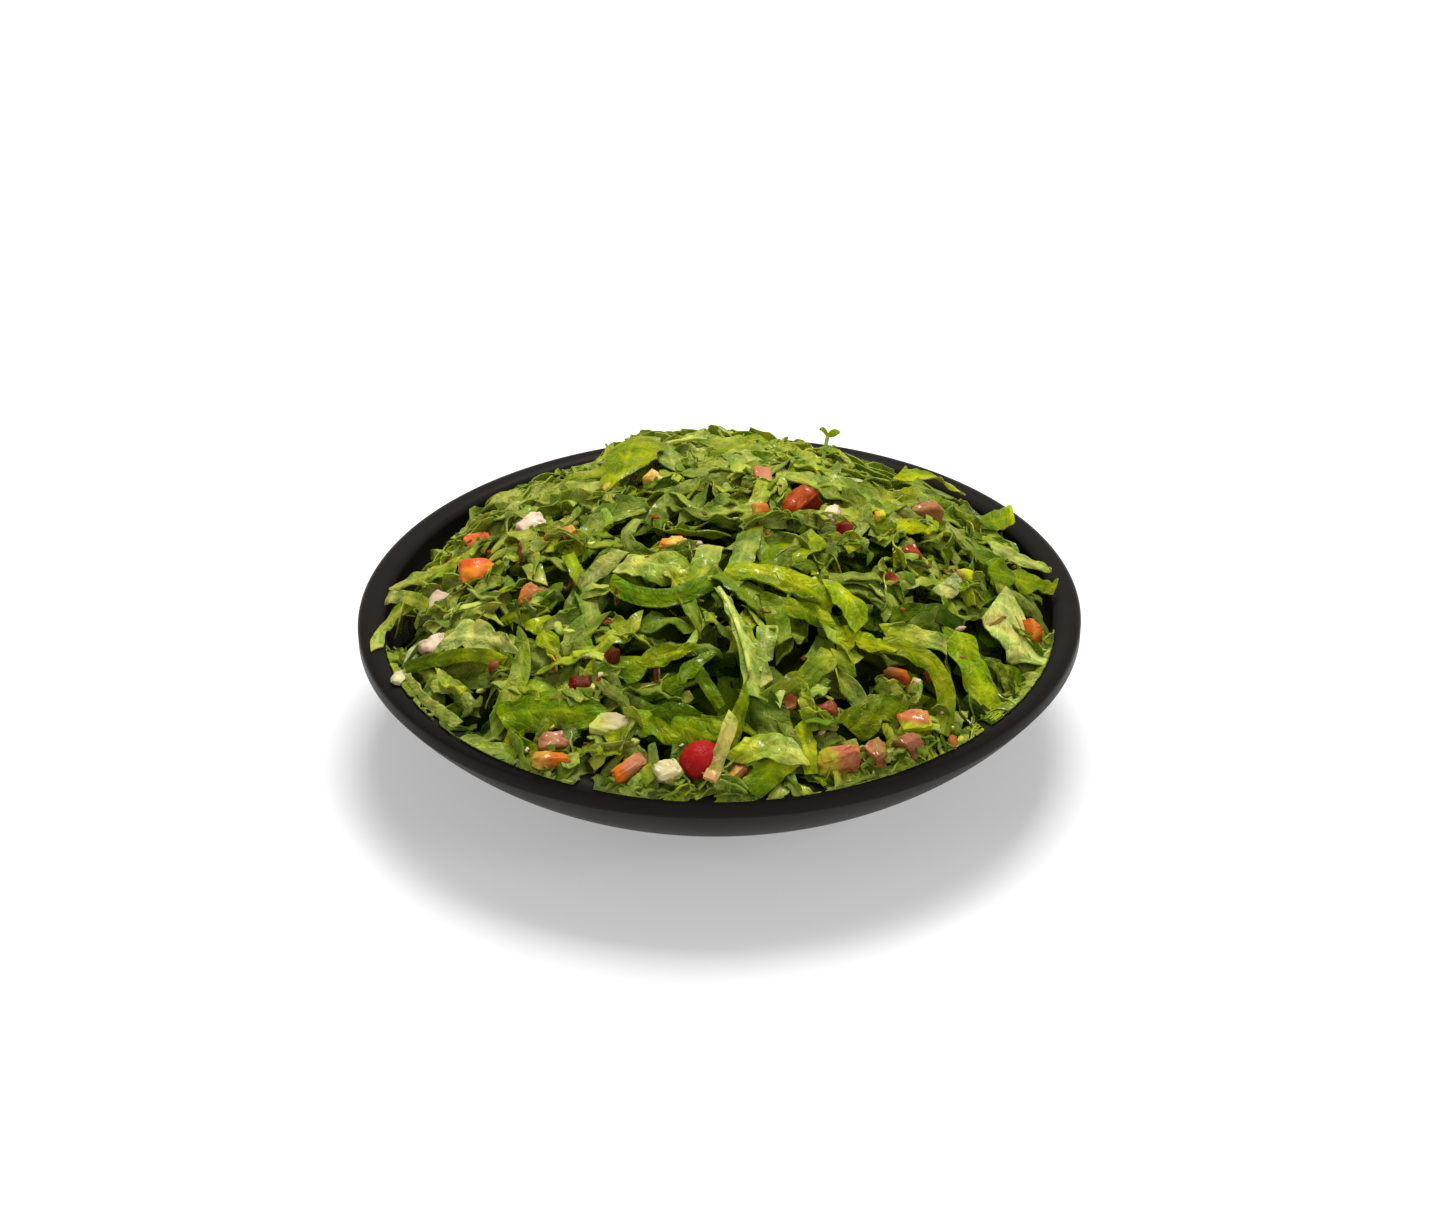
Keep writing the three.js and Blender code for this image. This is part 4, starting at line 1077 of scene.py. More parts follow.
# Start and end in plan, width, and how each lies.
STANDING_OUT = {
    "back_crest_leaf": ((-31, 8), (-27, 43), 20, dict(
        arch=2.5, end_lift=1, roll=2, curl=70, outline="leaf",
        tint=(LIME * [0.85, 0.9, 1], LIME * 0.75), over=6)),
    "crest_cap_leaf": ((-15, 22), (-17, 46), 12, dict(
        arch=2, roll=20, curl=50, outline="leaf", tint=(PALE * 0.8, GRASS), over=2)),
    "top_flat_leaf": ((-8, 44), (24, 38), 15, dict(
        arch=1, roll=10, curl=25, outline="leaf", tint=(GRASS, LIME), over=0)),
    "crest_rib": ((-20, 46), (0, 50), 3, dict(arch=4, tint=(PALE, PALE), thick=0.9, over=1)),
    "band_back": ((47, 14), (75, 30), 9, dict(
        bow=-4, roll=12, curl=20, tint=(LIME * 0.7, PALE * 0.8), over=0)),
    "back_right_crest": ((60, 28), (82, 36), 12, dict(
        arch=1, roll=16, curl=40, outline="leaf", tint=(LIME * 0.8, LIME * 0.9), over=0)),
    "back_right_tip": ((62, 42), (82, 46), 11, dict(
        arch=3, end_lift=1, roll=10, curl=40, outline="lobed", tint=(LIME, LIME), over=7)),
    "cream_rib_back": ((42, 26), (57, 36), 3.5, dict(tint=(CREAM, CREAM), thick=1.0, rib=0.4, over=0.5)),
    "hook_ribbon": ((-26, -12), (-18, -37), 5, dict(
        bow=-7, arch=1, roll=34, twist=60, curl=20, tint=(PALE * 0.8, GRASS), over=0.5)),
    "pale_patch": ((-31, -38), (-8, -46), 12, dict(
        arch=1.5, roll=10, curl=40, outline="leaf", tint=(PALE * 1.1, LIME), over=2)),
    "crescent": ((-34, -46), (0, -47), 6, dict(
        bow=-11, arch=1, roll=30, curl=25, tint=(GRASS * 1.4, GRASS), over=2.5)),
    "short_block": ((-2, -34), (-6, -51), 8, dict(
        arch=1, roll=-12, curl=18, tint=(PALE, LIME), thick=1.0, over=3)),
    "grey_blade": ((-44, -45), (-31, -33), 6, dict(
        end_lift=1.5, roll=20, curl=30, tint=(PALE * 0.6, PALE * 0.8), over=2)),
    "small_tip": ((-48, -27), (-42, -47), 6, dict(
        roll=-20, curl=30, outline="tip", tint=(LIME, GRASS), over=1.5)),
    "long_ribbon": ((2, -46), (35, -58), 8, dict(
        bow=2, arch=1.5, roll=14, twist=20, curl=55, tint=(LIME, LIME), thick=0.7, over=3)),
    "ribbon_end": ((33, -53), (44, -66), 10, dict(
        bow=2, arch=2, roll=-8, curl=60, outline="leaf", tint=(LIME * 1.1, LIME * 1.1), over=5.5)),
    "upright_patch": ((11, -20), (6, -44), 8, dict(roll=12, curl=20, tint=(GRASS, PALE), over=1.5)),
    "broad_blade": ((14, -43), (32, -25), 12, dict(
        end_lift=1, roll=-8, curl=25, outline="leaf", tint=(GRASS, LIME), over=1.5)),
    "green_ribbon": ((13, -57), (35, -63), 6, dict(arch=1, roll=20, curl=15, tint=(GRASS, LIME), over=1)),
    "main_stem": ((0.5, -57), (11, -93), 7.5, dict(
        bow=1.0, arch=2, roll=-14, twist=10, curl=70, outline="widening",
        tint=(PALE * [0.9, 1, 0.8], PALE * [0.9, 1, 0.8]), over=4.5)),
    "main_stem_rib": ((0, -55), (9, -88), 1.4, dict(
        bow=0.6, arch=2, tint=(PALE, PALE * 1.05), thick=0.6, rib=0.5, over=5.0)),
    "stem_blade": ((4, -66), (14, -90), 6, dict(
        bow=0.6, roll=22, curl=50, outline="leaf", tint=(LIME, PALE * 0.9), over=3.5)),
    "stem_leaf": ((15, -68), (13, -84), 8, dict(
        roll=10, curl=-15, outline="tip", tint=(PALE, PALE), over=2.5)),
    "stem_foot": ((10, -87), (2, -108), 7, dict(
        roll=-16, curl=80, outline="widening", tint=(GRASS, LIME * 0.7), over=5)),
    "stem_foot_rib": ((4, -101), (-3.5, -118), 4.5, dict(
        tint=(PALE, PEACH * [1.3, 1.5, 1.6]), thick=0.9, rib=0.6, over=8)),
    "stem_side_leaf": ((10, -88), (20, -106), 12, dict(
        roll=14, curl=30, outline="leaf", tint=(GRASS, PALE * 0.6), over=1.5)),
    "cherry_leaf": ((-20, -97), (-7, -99), 7, dict(
        arch=1.5, roll=24, curl=50, outline="leaf", tint=(GRASS, GRASS * 0.6), over=4)),
    "front_fold": ((4, -108), (24, -107), 11, dict(
        arch=1, roll=-14, curl=50, outline="leaf", tint=(LIME * 1.1, PALE * 1.1), over=6)),
    "front_fold_tail": ((24, -106), (8, -119), 9, dict(roll=2, curl=50, tint=(LIME, GRASS), over=5.5)),
    "small_upright": ((24, -97), (27, -112), 6, dict(
        arch=1, roll=16, curl=30, outline="leaf", tint=(LIME, LIME), over=3)),
    "crinkled_leaf": ((-31, -80), (-8, -75), 10, dict(
        arch=1, roll=12, curl=45, outline="lobed", tint=(GRASS, LIME), over=1)),
    "crinkled_low": ((-16, -88), (-2, -76), 8, dict(
        arch=1, roll=-12, curl=45, outline="lobed", tint=(GRASS, GRASS), over=1)),
    "diag_blade": ((-9, -80), (0, -94), 4, dict(arch=1, roll=20, curl=30, tint=(GRASS, GRASS), over=1.5)),
    "front_band": ((-27, -97), (1, -105), 12, dict(
        bow=1, arch=1, roll=4, curl=30, outline="leaf",
        tint=(LIME * [0.7, 0.85, 1], LIME * [0.8, 0.9, 1]), over=3.5)),
    "yellow_stem": ((-45, -71), (-34, -76), 2.4, dict(
        bow=1, tint=(LIME, PALE), thick=0.8, rib=0.4, over=2)),
    "stem_arc": ((-43, -76), (-10, -97), 4.0, dict(
        bow=-3, arch=1, roll=34, curl=40, tint=(PALE, GRASS), over=1.5)),
    "veined_leaf": ((-68, -84), (-37, -93), 13, dict(
        bow=2, arch=1, roll=2, curl=40, outline="leaf",
        tint=(LIME * [0.62, 0.78, 1], LIME * [0.55, 0.68, 1]), over=2.5)),
    "veined_low": ((-66, -88), (-54, -103), 8, dict(roll=12, curl=30, tint=(LIME, GRASS), over=2)),
    "pale_left_leaf": ((-87, -44), (-64, -61), 14, dict(
        arch=1, roll=4, curl=20, outline="lobed",
        tint=(PALE * [1.25, 1.2, 1.5], PALE * [1.2, 1.15, 1.4]), over=3)),
    "left_crescent": ((-101, -49), (-82, -80), 7, dict(
        bow=-2, roll=18, curl=30, tint=(PALE, PALE), thick=0.6, over=3)),
    "left_blade": ((-100, -48), (-67, -65), 4.5, dict(
        bow=2, arch=1.5, roll=30, curl=20, tint=(GRASS, LIME), over=3)),
    "bright_blade": ((-57, -53), (-50, -72), 9, dict(
        roll=-10, curl=35, outline="lobed", tint=(LIME, LIME), over=2)),
    "rim_ribbon": ((-66, -80), (-65, -98), 6, dict(bow=3, roll=20, curl=20, tint=(LIME, GRASS), over=1.5)),
    "right_fold_leaf": ((75, -50), (92, -84), 10, dict(
        bow=-1, roll=14, curl=30, outline="shred",
        tint=(LIME * [0.9, 1, 1], LIME * [0.85, 0.95, 1]), over=5)),
    # The fold's turned-away half, its tint darkened as painted shade.
    "right_fold_painted_shade": ((71, -56), (80, -86), 8, dict(
        bow=-2, roll=-50, curl=-20, outline="leaf", tint=(GRASS * 0.6, DEEP), over=0)),
    "right_fold_strip": ((85, -58), (98, -82), 6, dict(
        roll=4, curl=14, outline="shred", tint=(PALE * 1.05, PALE), over=3)),
    "right_pale_leaf": ((88, -30), (104, -47), 20, dict(
        roll=4, curl=14, outline="shred",
        tint=(PALE * [1.25, 1.2, 1.6], PALE * [1.25, 1.2, 1.5]), over=3.5, blister=0.25)),
    "right_low_leaf": ((94, -51), (92, -68), 11, dict(
        roll=-14, curl=45, outline="lobed", tint=(GRASS, DEEP), over=2)),
    "arch_hook": ((50, -68), (67, -91), 6, dict(
        bow=11, arch=3, roll=20, curl=30, tint=(LIME * 0.85, LIME * 0.6), over=3)),
    "arch_top": ((36, -69), (54, -68), 9, dict(
        arch=1, roll=8, curl=50, outline="lobed", tint=(LIME, LIME), over=2.5)),
    "mid_right_leaf": ((39, -96), (62, -79), 12, dict(
        arch=1, roll=12, curl=35, outline="lobed", tint=(LIME * 0.6, GRASS), over=1.5)),
    "right_ribbon": ((53, -55), (77, -47), 6, dict(
        bow=2, arch=1, roll=24, curl=15, tint=(GRASS, DEEP), over=1)),
    "mid_ribbon": ((51, -62), (71, -58), 6.5, dict(arch=1, roll=16, curl=20, tint=(LIME, PALE), over=1.5)),
    "grey_fold": ((74, 6), (92, -3), 11, dict(
        roll=10, curl=45, outline="leaf", tint=(PALE * 0.8, GRASS), over=1)),
    "yellow_ribbon": ((57, -10), (72, -3), 6, dict(
        arch=1, roll=10, curl=40, tint=(LIME, LIME), thick=0.8, over=2)),
    "cream_strip": ((70, -38), (78, -26), 6, dict(roll=10, curl=20, tint=(PALE, CREAM * 0.9), over=1.5)),
    "right_tip": ((88, 20), (101, 36), 8, dict(
        end_lift=9, roll=10, curl=30, outline="leaf", tint=(GRASS, LIME), over=5, beyond=4.0)),
    "right_point": ((90, 2), (112, 11), 8, dict(
        end_lift=4, roll=14, curl=25, outline="tip", tint=(PALE, PALE), over=4, beyond=6.0)),
    "jagged_right": ((88, -16), (112, -3), 12, dict(
        end_lift=4, roll=12, curl=30, outline="lobed", tint=(GRASS, LIME), over=4, beyond=6.0)),
    "left_edge_tip": ((-86, -6), (-110, 8), 9, dict(
        end_lift=4, roll=-14, curl=30, outline="tip", tint=(LIME, PALE), over=3, beyond=5.0)),
    "left_rim_blade": ((-94, -24), (-110, -4), 4.5, dict(
        arch=2, end_lift=4, roll=-20, curl=20, tint=(LIME, PALE), over=4, beyond=5.0)),
    "left_hook": ((-97, -14), (-111, -32), 5, dict(
        bow=-6, arch=3, roll=-20, curl=20, tint=(LIME, PALE), over=4, beyond=5.0)),
    "white_rib": ((-98, -36), (-103, -54), 5, dict(
        tint=(CREAM, CREAM), thick=1.0, rib=0.5, over=3, beyond=2.0)),
    "left_back_leaf": ((-72, 44), (-50, 38), 9, dict(
        end_lift=1, roll=12, curl=25, outline="leaf", tint=(LIME, PALE), over=0)),
    "left_back_edge": ((-86, 32), (-70, 44), 8, dict(
        end_lift=1, roll=10, curl=25, outline="lobed", tint=(PALE, LIME), over=0)),
    "left_shoulder_leaf": ((-97, 14), (-86, 32), 9, dict(
        end_lift=2, roll=12, curl=25, outline="leaf", tint=(PALE, GRASS), over=1)),
}

# Dark hollows between the leaves, with low leaves at their bottom painted dark as shade: middle in plan and
# radius.
HOLLOWS = np.array(
    [
        (-21, -27, 5.0), (-2, -31, 4.5), (-27, -54, 4.5), (-17, -55, 4.0), (-3, -84, 5.5), (-7, -78, 4.0),
        (-39, -107, 5.5), (-33, -108, 4.0), (67, -74, 4.0), (65, -66, 3.5), (-22, -104, 3.0), (25, -74, 4.0),
        (-69, -51, 4.5), (85, -41, 4.0), (45, -95, 3.5), (38, -98, 3.5), (-77, -79, 4.5), (27, -88, 3.5),
        (58, -30, 3.5), (-50, -38, 3.5), (1, -18, 4.5), (-25, -19, 4.5), (44, -36, 3.5), (-52, -92, 3.5),
        (9, -112, 3.0), (42, -107, 2.5), (-59, -98, 3.0),
    ]
)


def hero_clearance(x, y):
    """The distance in plan from a place to the nearest standing-out line, in widths of that piece."""
    nearest = 9.0
    for start, end, width, _ in STANDING_OUT.values():
        run = np.subtract(end, start)
        t = np.clip(((x - start[0]) * run[0] + (y - start[1]) * run[1]) / (run @ run), 0, 1)
        gap = math.hypot(x - start[0] - t * run[0], y - start[1] - t * run[1])
        nearest = min(nearest, gap / (0.5 * width + 2.0))
    return nearest


def lay_standing_out(top):
    """The pieces of the table above, on finer grids, with the ruffles and blisters that their width calls
    for."""
    sheets = {"blade": Sheets(), "rib": Sheets()}
    for index, (start, end, width, how) in enumerate(STANDING_OUT.values()):
        rng = np.random.default_rng(900 + index)
        is_rib = how.get("rib", 0) > 0 or how.get("thick", 0) > 1
        kind = sheets["rib" if is_rib else "blade"]
        broad = width > 8
        extra = dict(grid=(30, 10) if broad else (26, 7), skew=rng.uniform(-0.35, 0.35, 2) * width)
        extra["rest"] = how.get("over", 1.0) - 2.5
        extra["wave"] = 0.0 if is_rib else 0.10 * width
        extra["blister"] = 0.0 if is_rib else (0.40 if broad else 0.15)
        lay_leaf(top, kind, start, end, width, rng, **{**extra, **how})
    return sheets


# ---- Random layers ----


def lay_layer(top, sheets, count, seed, lengths, widths, outlines, chunks, **how):
    """Leaves of one kind over the whole heap, at places on a spiral. Numbers given as a pair are drawn
    between the two. On the upper layers, places on a chunk, in a hollow or on a standing-out piece stay free;
    on the lowest, leaves that cross a hollow are painted dark as shade and lie low. Leaves at the back and on
    the left get brighter, paler tints as painted light."""
    rng = np.random.default_rng(seed)
    keep_free = how.pop("keep_free", 0.0)
    bright, pale = how.pop("bright", 0.5), how.pop("pale", 0.3)
    for x, y in spiral_places(count, SIDE_REACH, rng):
        length, width = rng.uniform(*lengths), rng.uniform(*widths)
        heading = rng.uniform(0, 2 * math.pi)
        drawn = {k: rng.uniform(*v) if isinstance(v, tuple) and k != "grid" else v for k, v in how.items()}
        skew = rng.uniform(-0.6, 0.6, 2) * width
        outline = outlines[rng.integers(len(outlines))]
        further_back = float(smooth_step(-20, 50, y))
        # Leaves at the back, except the right back, and on the left get brighter, paler tints as painted
        # light.
        painted_light_share = further_back * (1 - float(smooth_step(20, 55, x))) + 0.6 * float(smooth_step(-30, -80, x))
        tint = drawn_tint(rng, bright + 0.45 * painted_light_share, pale + 0.55 * painted_light_share)
        tip_tint = tint + (drawn_tint(rng, bright, pale) - tint) * 0.5
        length, width = length * (1 + 0.3 * further_back), width * (1 + 0.3 * further_back)
        step = pointing(heading, length / 2)
        middle = np.array([x, y])
        path = middle + step * np.linspace(-1, 1, 7)[:, None]
        if gap_to(path, HOLLOWS) < 0.2 * width:
            if keep_free:
                continue
            # A leaf crossing a hollow is painted dark as shade.
            tint, tip_tint = DEEP * 0.5, DEEP * [1.2, 0.5, 0.5]
            drawn["over"] = -HOLLOW_DEPTH
        if keep_free and (gap_to(path, chunks) < 0.25 * width - 1.0 or hero_clearance(x, y) < keep_free):
            continue
        lay_leaf(
            top, sheets, middle - step, middle + step, width, rng,
            outline=outline, skew=skew, tint=(tint, tip_tint), **drawn,
        )


def lay_over_front_lip(top, sheets):
    """At the front the heap hides the lip's inner edge: small leaves stand and lie across it in all
    directions, and those over a hollow are painted dark as shade and lie lower."""
    rng = np.random.default_rng(29)
    for turn in np.linspace(math.radians(-164), math.radians(-16), LIP_LEAVES):
        turn += rng.normal(0, 0.02)
        outer = 2.0 + 4.0 * max(0.0, -math.sin(turn)) ** 2
        middle = pointing(turn, outer + rng.uniform(103, 115.5))
        heading = turn + rng.normal(0, 0.8)
        length, width = rng.uniform(9, 19), rng.uniform(4, 9)
        step = pointing(heading, length / 2)
        in_hollow = gap_to(np.stack([middle - step, middle, middle + step]), HOLLOWS) < 0
        # Over a hollow the leaf's tint is painted dark as shade.
        bright = -0.3 if in_hollow else rng.uniform(0.3, 0.85)
        lay_leaf(
            top, sheets, middle - step, middle + step, width, rng,
            outline=("leaf", "lobed", "tip", "shred")[rng.integers(4)], beyond=0.0,
            tint=(drawn_tint(rng, bright, 0.5), drawn_tint(rng, bright, 0.5)), roll=rng.uniform(-65, 65),
            twist=rng.uniform(-50, 50), curl=rng.uniform(-60, 100), wave=rng.uniform(0.4, 1.1),
            arch=rng.uniform(0, 2), wander=0.5, blister=0.4, sink=0.5, over=-1.5 if in_hollow else 2.5,
            rest=-4.0 if in_hollow else -3.0, grid=(13, 7),
        )


def tuck_in(top, sheets, chunks):
    """Small cut leaves round each chunk. The first few stand in front of it, and at the front of the heap
    they hide its foot; the others lie against its sides."""
    rng = np.random.default_rng(31)
    for x, y, half in chunks:
        for index in range(TUCKED_LEAVES):
            in_front = index < TUCKED_IN_FRONT
            turn = rng.normal(-math.pi / 2, 0.7 if in_front else 1.4)
            apart = half + (rng.uniform(-0.8, 1.0) if in_front else rng.uniform(-1.2, 1.6))
            middle = np.array([x, y]) + pointing(turn, apart)
            heading = turn + math.pi / 2 + rng.normal(0, 0.35)
            step = pointing(heading, rng.uniform(3.0, 7.0))
            roll = rng.uniform(35, 75) * rng.choice((-1, 1)) if in_front else rng.uniform(-60, 60)
            tint = drawn_tint(rng, rng.uniform(0.35, 0.75), 0.5)
            over = rng.uniform(2.0, 4.5) if in_front else rng.uniform(0.5, 2.0)
            over -= FRONT_ROW_DROP if y > FRONT_ROW_Y else 0.0
            width = rng.uniform(4, 7) if in_front else rng.uniform(3.5, 7)
            lay_leaf(
                top, sheets, middle - step, middle + step, width, rng,
                outline=("leaf", "shred", "lobed")[rng.integers(3)], tint=(tint, tint), roll=roll,
                curl=rng.uniform(-40, 80), wave=0.6, wander=0.4, arch=0.8, sink=0.4, rest=over - 2.5,
                over=over, beyond=0.0, grid=(10, 6),
            )


def lay_on_chunks(top, sheets):
    """Two small bits of leaf on each chunk, across its edge."""
    rng = np.random.default_rng(33)
    for name in CHUNKS:
        low, high = box_mm(name)
        middle, half = (low + high)[:2] / 2, (high - low)[:2].max() / 2
        disc = rings(*middle, np.array([0.0, 0.3, 0.6]) * half)
        over = float(high[2] - mound_z(*middle)) + 0.3
        top.raise_to(with_last(disc, high[2] - 0.9))
        for _ in range(2):
            turn, heading = rng.uniform(-math.pi, 0.4), rng.uniform(0, 2 * math.pi)
            at = middle + pointing(turn, half) * rng.uniform(0.8, 1.1)
            step = pointing(heading, rng.uniform(2.0, 4.0))
            tint = drawn_tint(rng, rng.uniform(0.4, 0.8), 0.5)
            lay_leaf(
                top, sheets, at - step, at + step, rng.uniform(2.5, 5), rng, beyond=0.0, tint=(tint, tint),
                outline=("leaf", "shred", "lobed")[rng.integers(3)], roll=rng.uniform(-30, 30), sink=0.2,
                curl=rng.uniform(-30, 60), wave=0.4, over=over, grid=(10, 5),
            )


def bit_points(size, rng, rows, count):
    """A tiny cut bit about the origin: a low ball pulled long, with uneven radii."""
    polar = np.linspace(0, math.pi, rows + 2)[:, None]
    turn = full_turn(count)[None]
    radius = 1 + 0.32 * rng.uniform(-1, 1, (rows + 2, count))
    radius[0], radius[-1] = 1, 1
    out = radius * np.sin(polar)
    shape = np.stack([out * np.cos(turn), out * np.sin(turn), -np.cos(polar) * radius], 2)
    long_way = np.array([1.0, rng.uniform(0.35, 0.8), rng.uniform(0.3, 0.6)])
    return shape * long_way * size / 2


def scatter_bits(top, name, count, seed, sizes, colours, material, chunks):
    """Small cut bits lying on the finished heap, each turned its own way and half sunk between the leaves;
    two of three lie near a chunk."""
    rng = np.random.default_rng(seed)
    rows, around = 3, 7
    points, tints = [], []
    for index, (x, y) in enumerate(spiral_places(count, 104, rng, 6.0)):
        if index % 3:
            x, y, half = chunks[rng.integers(len(chunks))]
            turn, apart = rng.uniform(0, 2 * math.pi), half + rng.uniform(0.5, 7)
            x, y = x + apart * math.cos(turn), y + apart * math.sin(turn)
        size = rng.uniform(*sizes)
        one = bit_points(size, rng, rows, around)
        spin = Matrix.Rotation(rng.uniform(0, 6.28), 3, "Z")
        spin = spin @ Matrix.Rotation(rng.uniform(-0.6, 0.6), 3, "X")
        one = one @ np.array(spin).T
        reach = math.hypot(x, y) / float(mound_edge(np.array(x), np.array(y)))
        x, y = np.array([x, y]) * min(1, 0.96 / max(reach, 1e-6))
        height = min(float(top.at(np.array([x]), np.array([y]))[0]), float(mound_z(x, y)) + 1.5)
        colour = colours[rng.integers(len(colours))] * rng.uniform(0.75, 1.1)
        points.append(closed(one + [x, y, height - size * 0.08]))
        tints.append(np.tile([*np.clip(colour, 0, 1), 0.4], (rows * around + 2, 1)))
    mesh = many_round_mesh(name, points, tints, rows, around)
    return finish_piece(mesh, name, material, "salad")


def make_sprig(top):
    """The small sprig that stands up at the back: a thin stalk and three narrow leaves at its top."""
    sheets = Sheets()
    rng = np.random.default_rng(5)
    foot_z = float(top.at(np.array([36.0]), np.array([36.0]))[0])
    u = np.linspace(0, 1, 12)[:, None]
    foot, middle, tip = np.array([35, 35, foot_z - 2]), np.array([36, 38, 82]), np.array([37.5, 41, 87.5])
    line = (1 - u) ** 2 * foot + 2 * u * (1 - u) * middle + u**2 * tip
    stalks = [(line, 1.3, 0.8)]
    leaves = ((0.45, 1.2, 4.6, 2.6), (2.6, 2.6, 3.2, 1.6), (-2.2, -0.5, 3.5, 1.8))
    for heading, lift, length, width in leaves:
        start = tip if lift > 0 else line[7]
        out = np.array([math.cos(heading), 0.35 * math.sin(heading), 0]) * length
        leaf_line = start + out * u + np.array([0, 0, lift]) * np.sin(u * 2.2)
        leaf_line[:, 2] = np.minimum(leaf_line[:, 2], HEAP_TOP - 0.6)
        stalks.append((leaf_line, width, 0.35))
    v = np.linspace(-1, 1, 7)
    for index, (line, width, thick) in enumerate(stalks):
        forward = unit(np.gradient(line, axis=0))
        side = unit(np.cross(forward, [0.2, -0.8, 0.55]))
        normal = unit(np.cross(forward, side))
        narrowing = 0.25 + 0.75 * np.sin(math.pi * np.clip(0.08 + 0.88 * u, 0, 1))
        taper = np.ones_like(u) if index == 0 else narrowing
        blade = line[:, None] + (v[None, :, None] * side[:, None]) * (taper * width / 2)[:, None]
        bulge = thick / 2 * np.sqrt(np.clip(1.02 - v**2, 0.05, 1))[None, :, None]
        colour = PALE * [0.8, 0.95, 0.8] if index == 0 else LIME
        grid = blade.shape[:2]
        tint = with_last(np.broadcast_to(colour, blade.shape), rng.uniform())
        uv = np.stack([np.broadcast_to(u * 8, grid), np.broadcast_to(v * width / 2, grid)], 2)
        bulge = normal[:, None] * bulge
        sheets.add(blade + bulge, blade - bulge, tint, tint, uv)
    finish_piece(sheets.mesh("sprig"), "sprig", HERB, "salad", SHARP_EDGE)


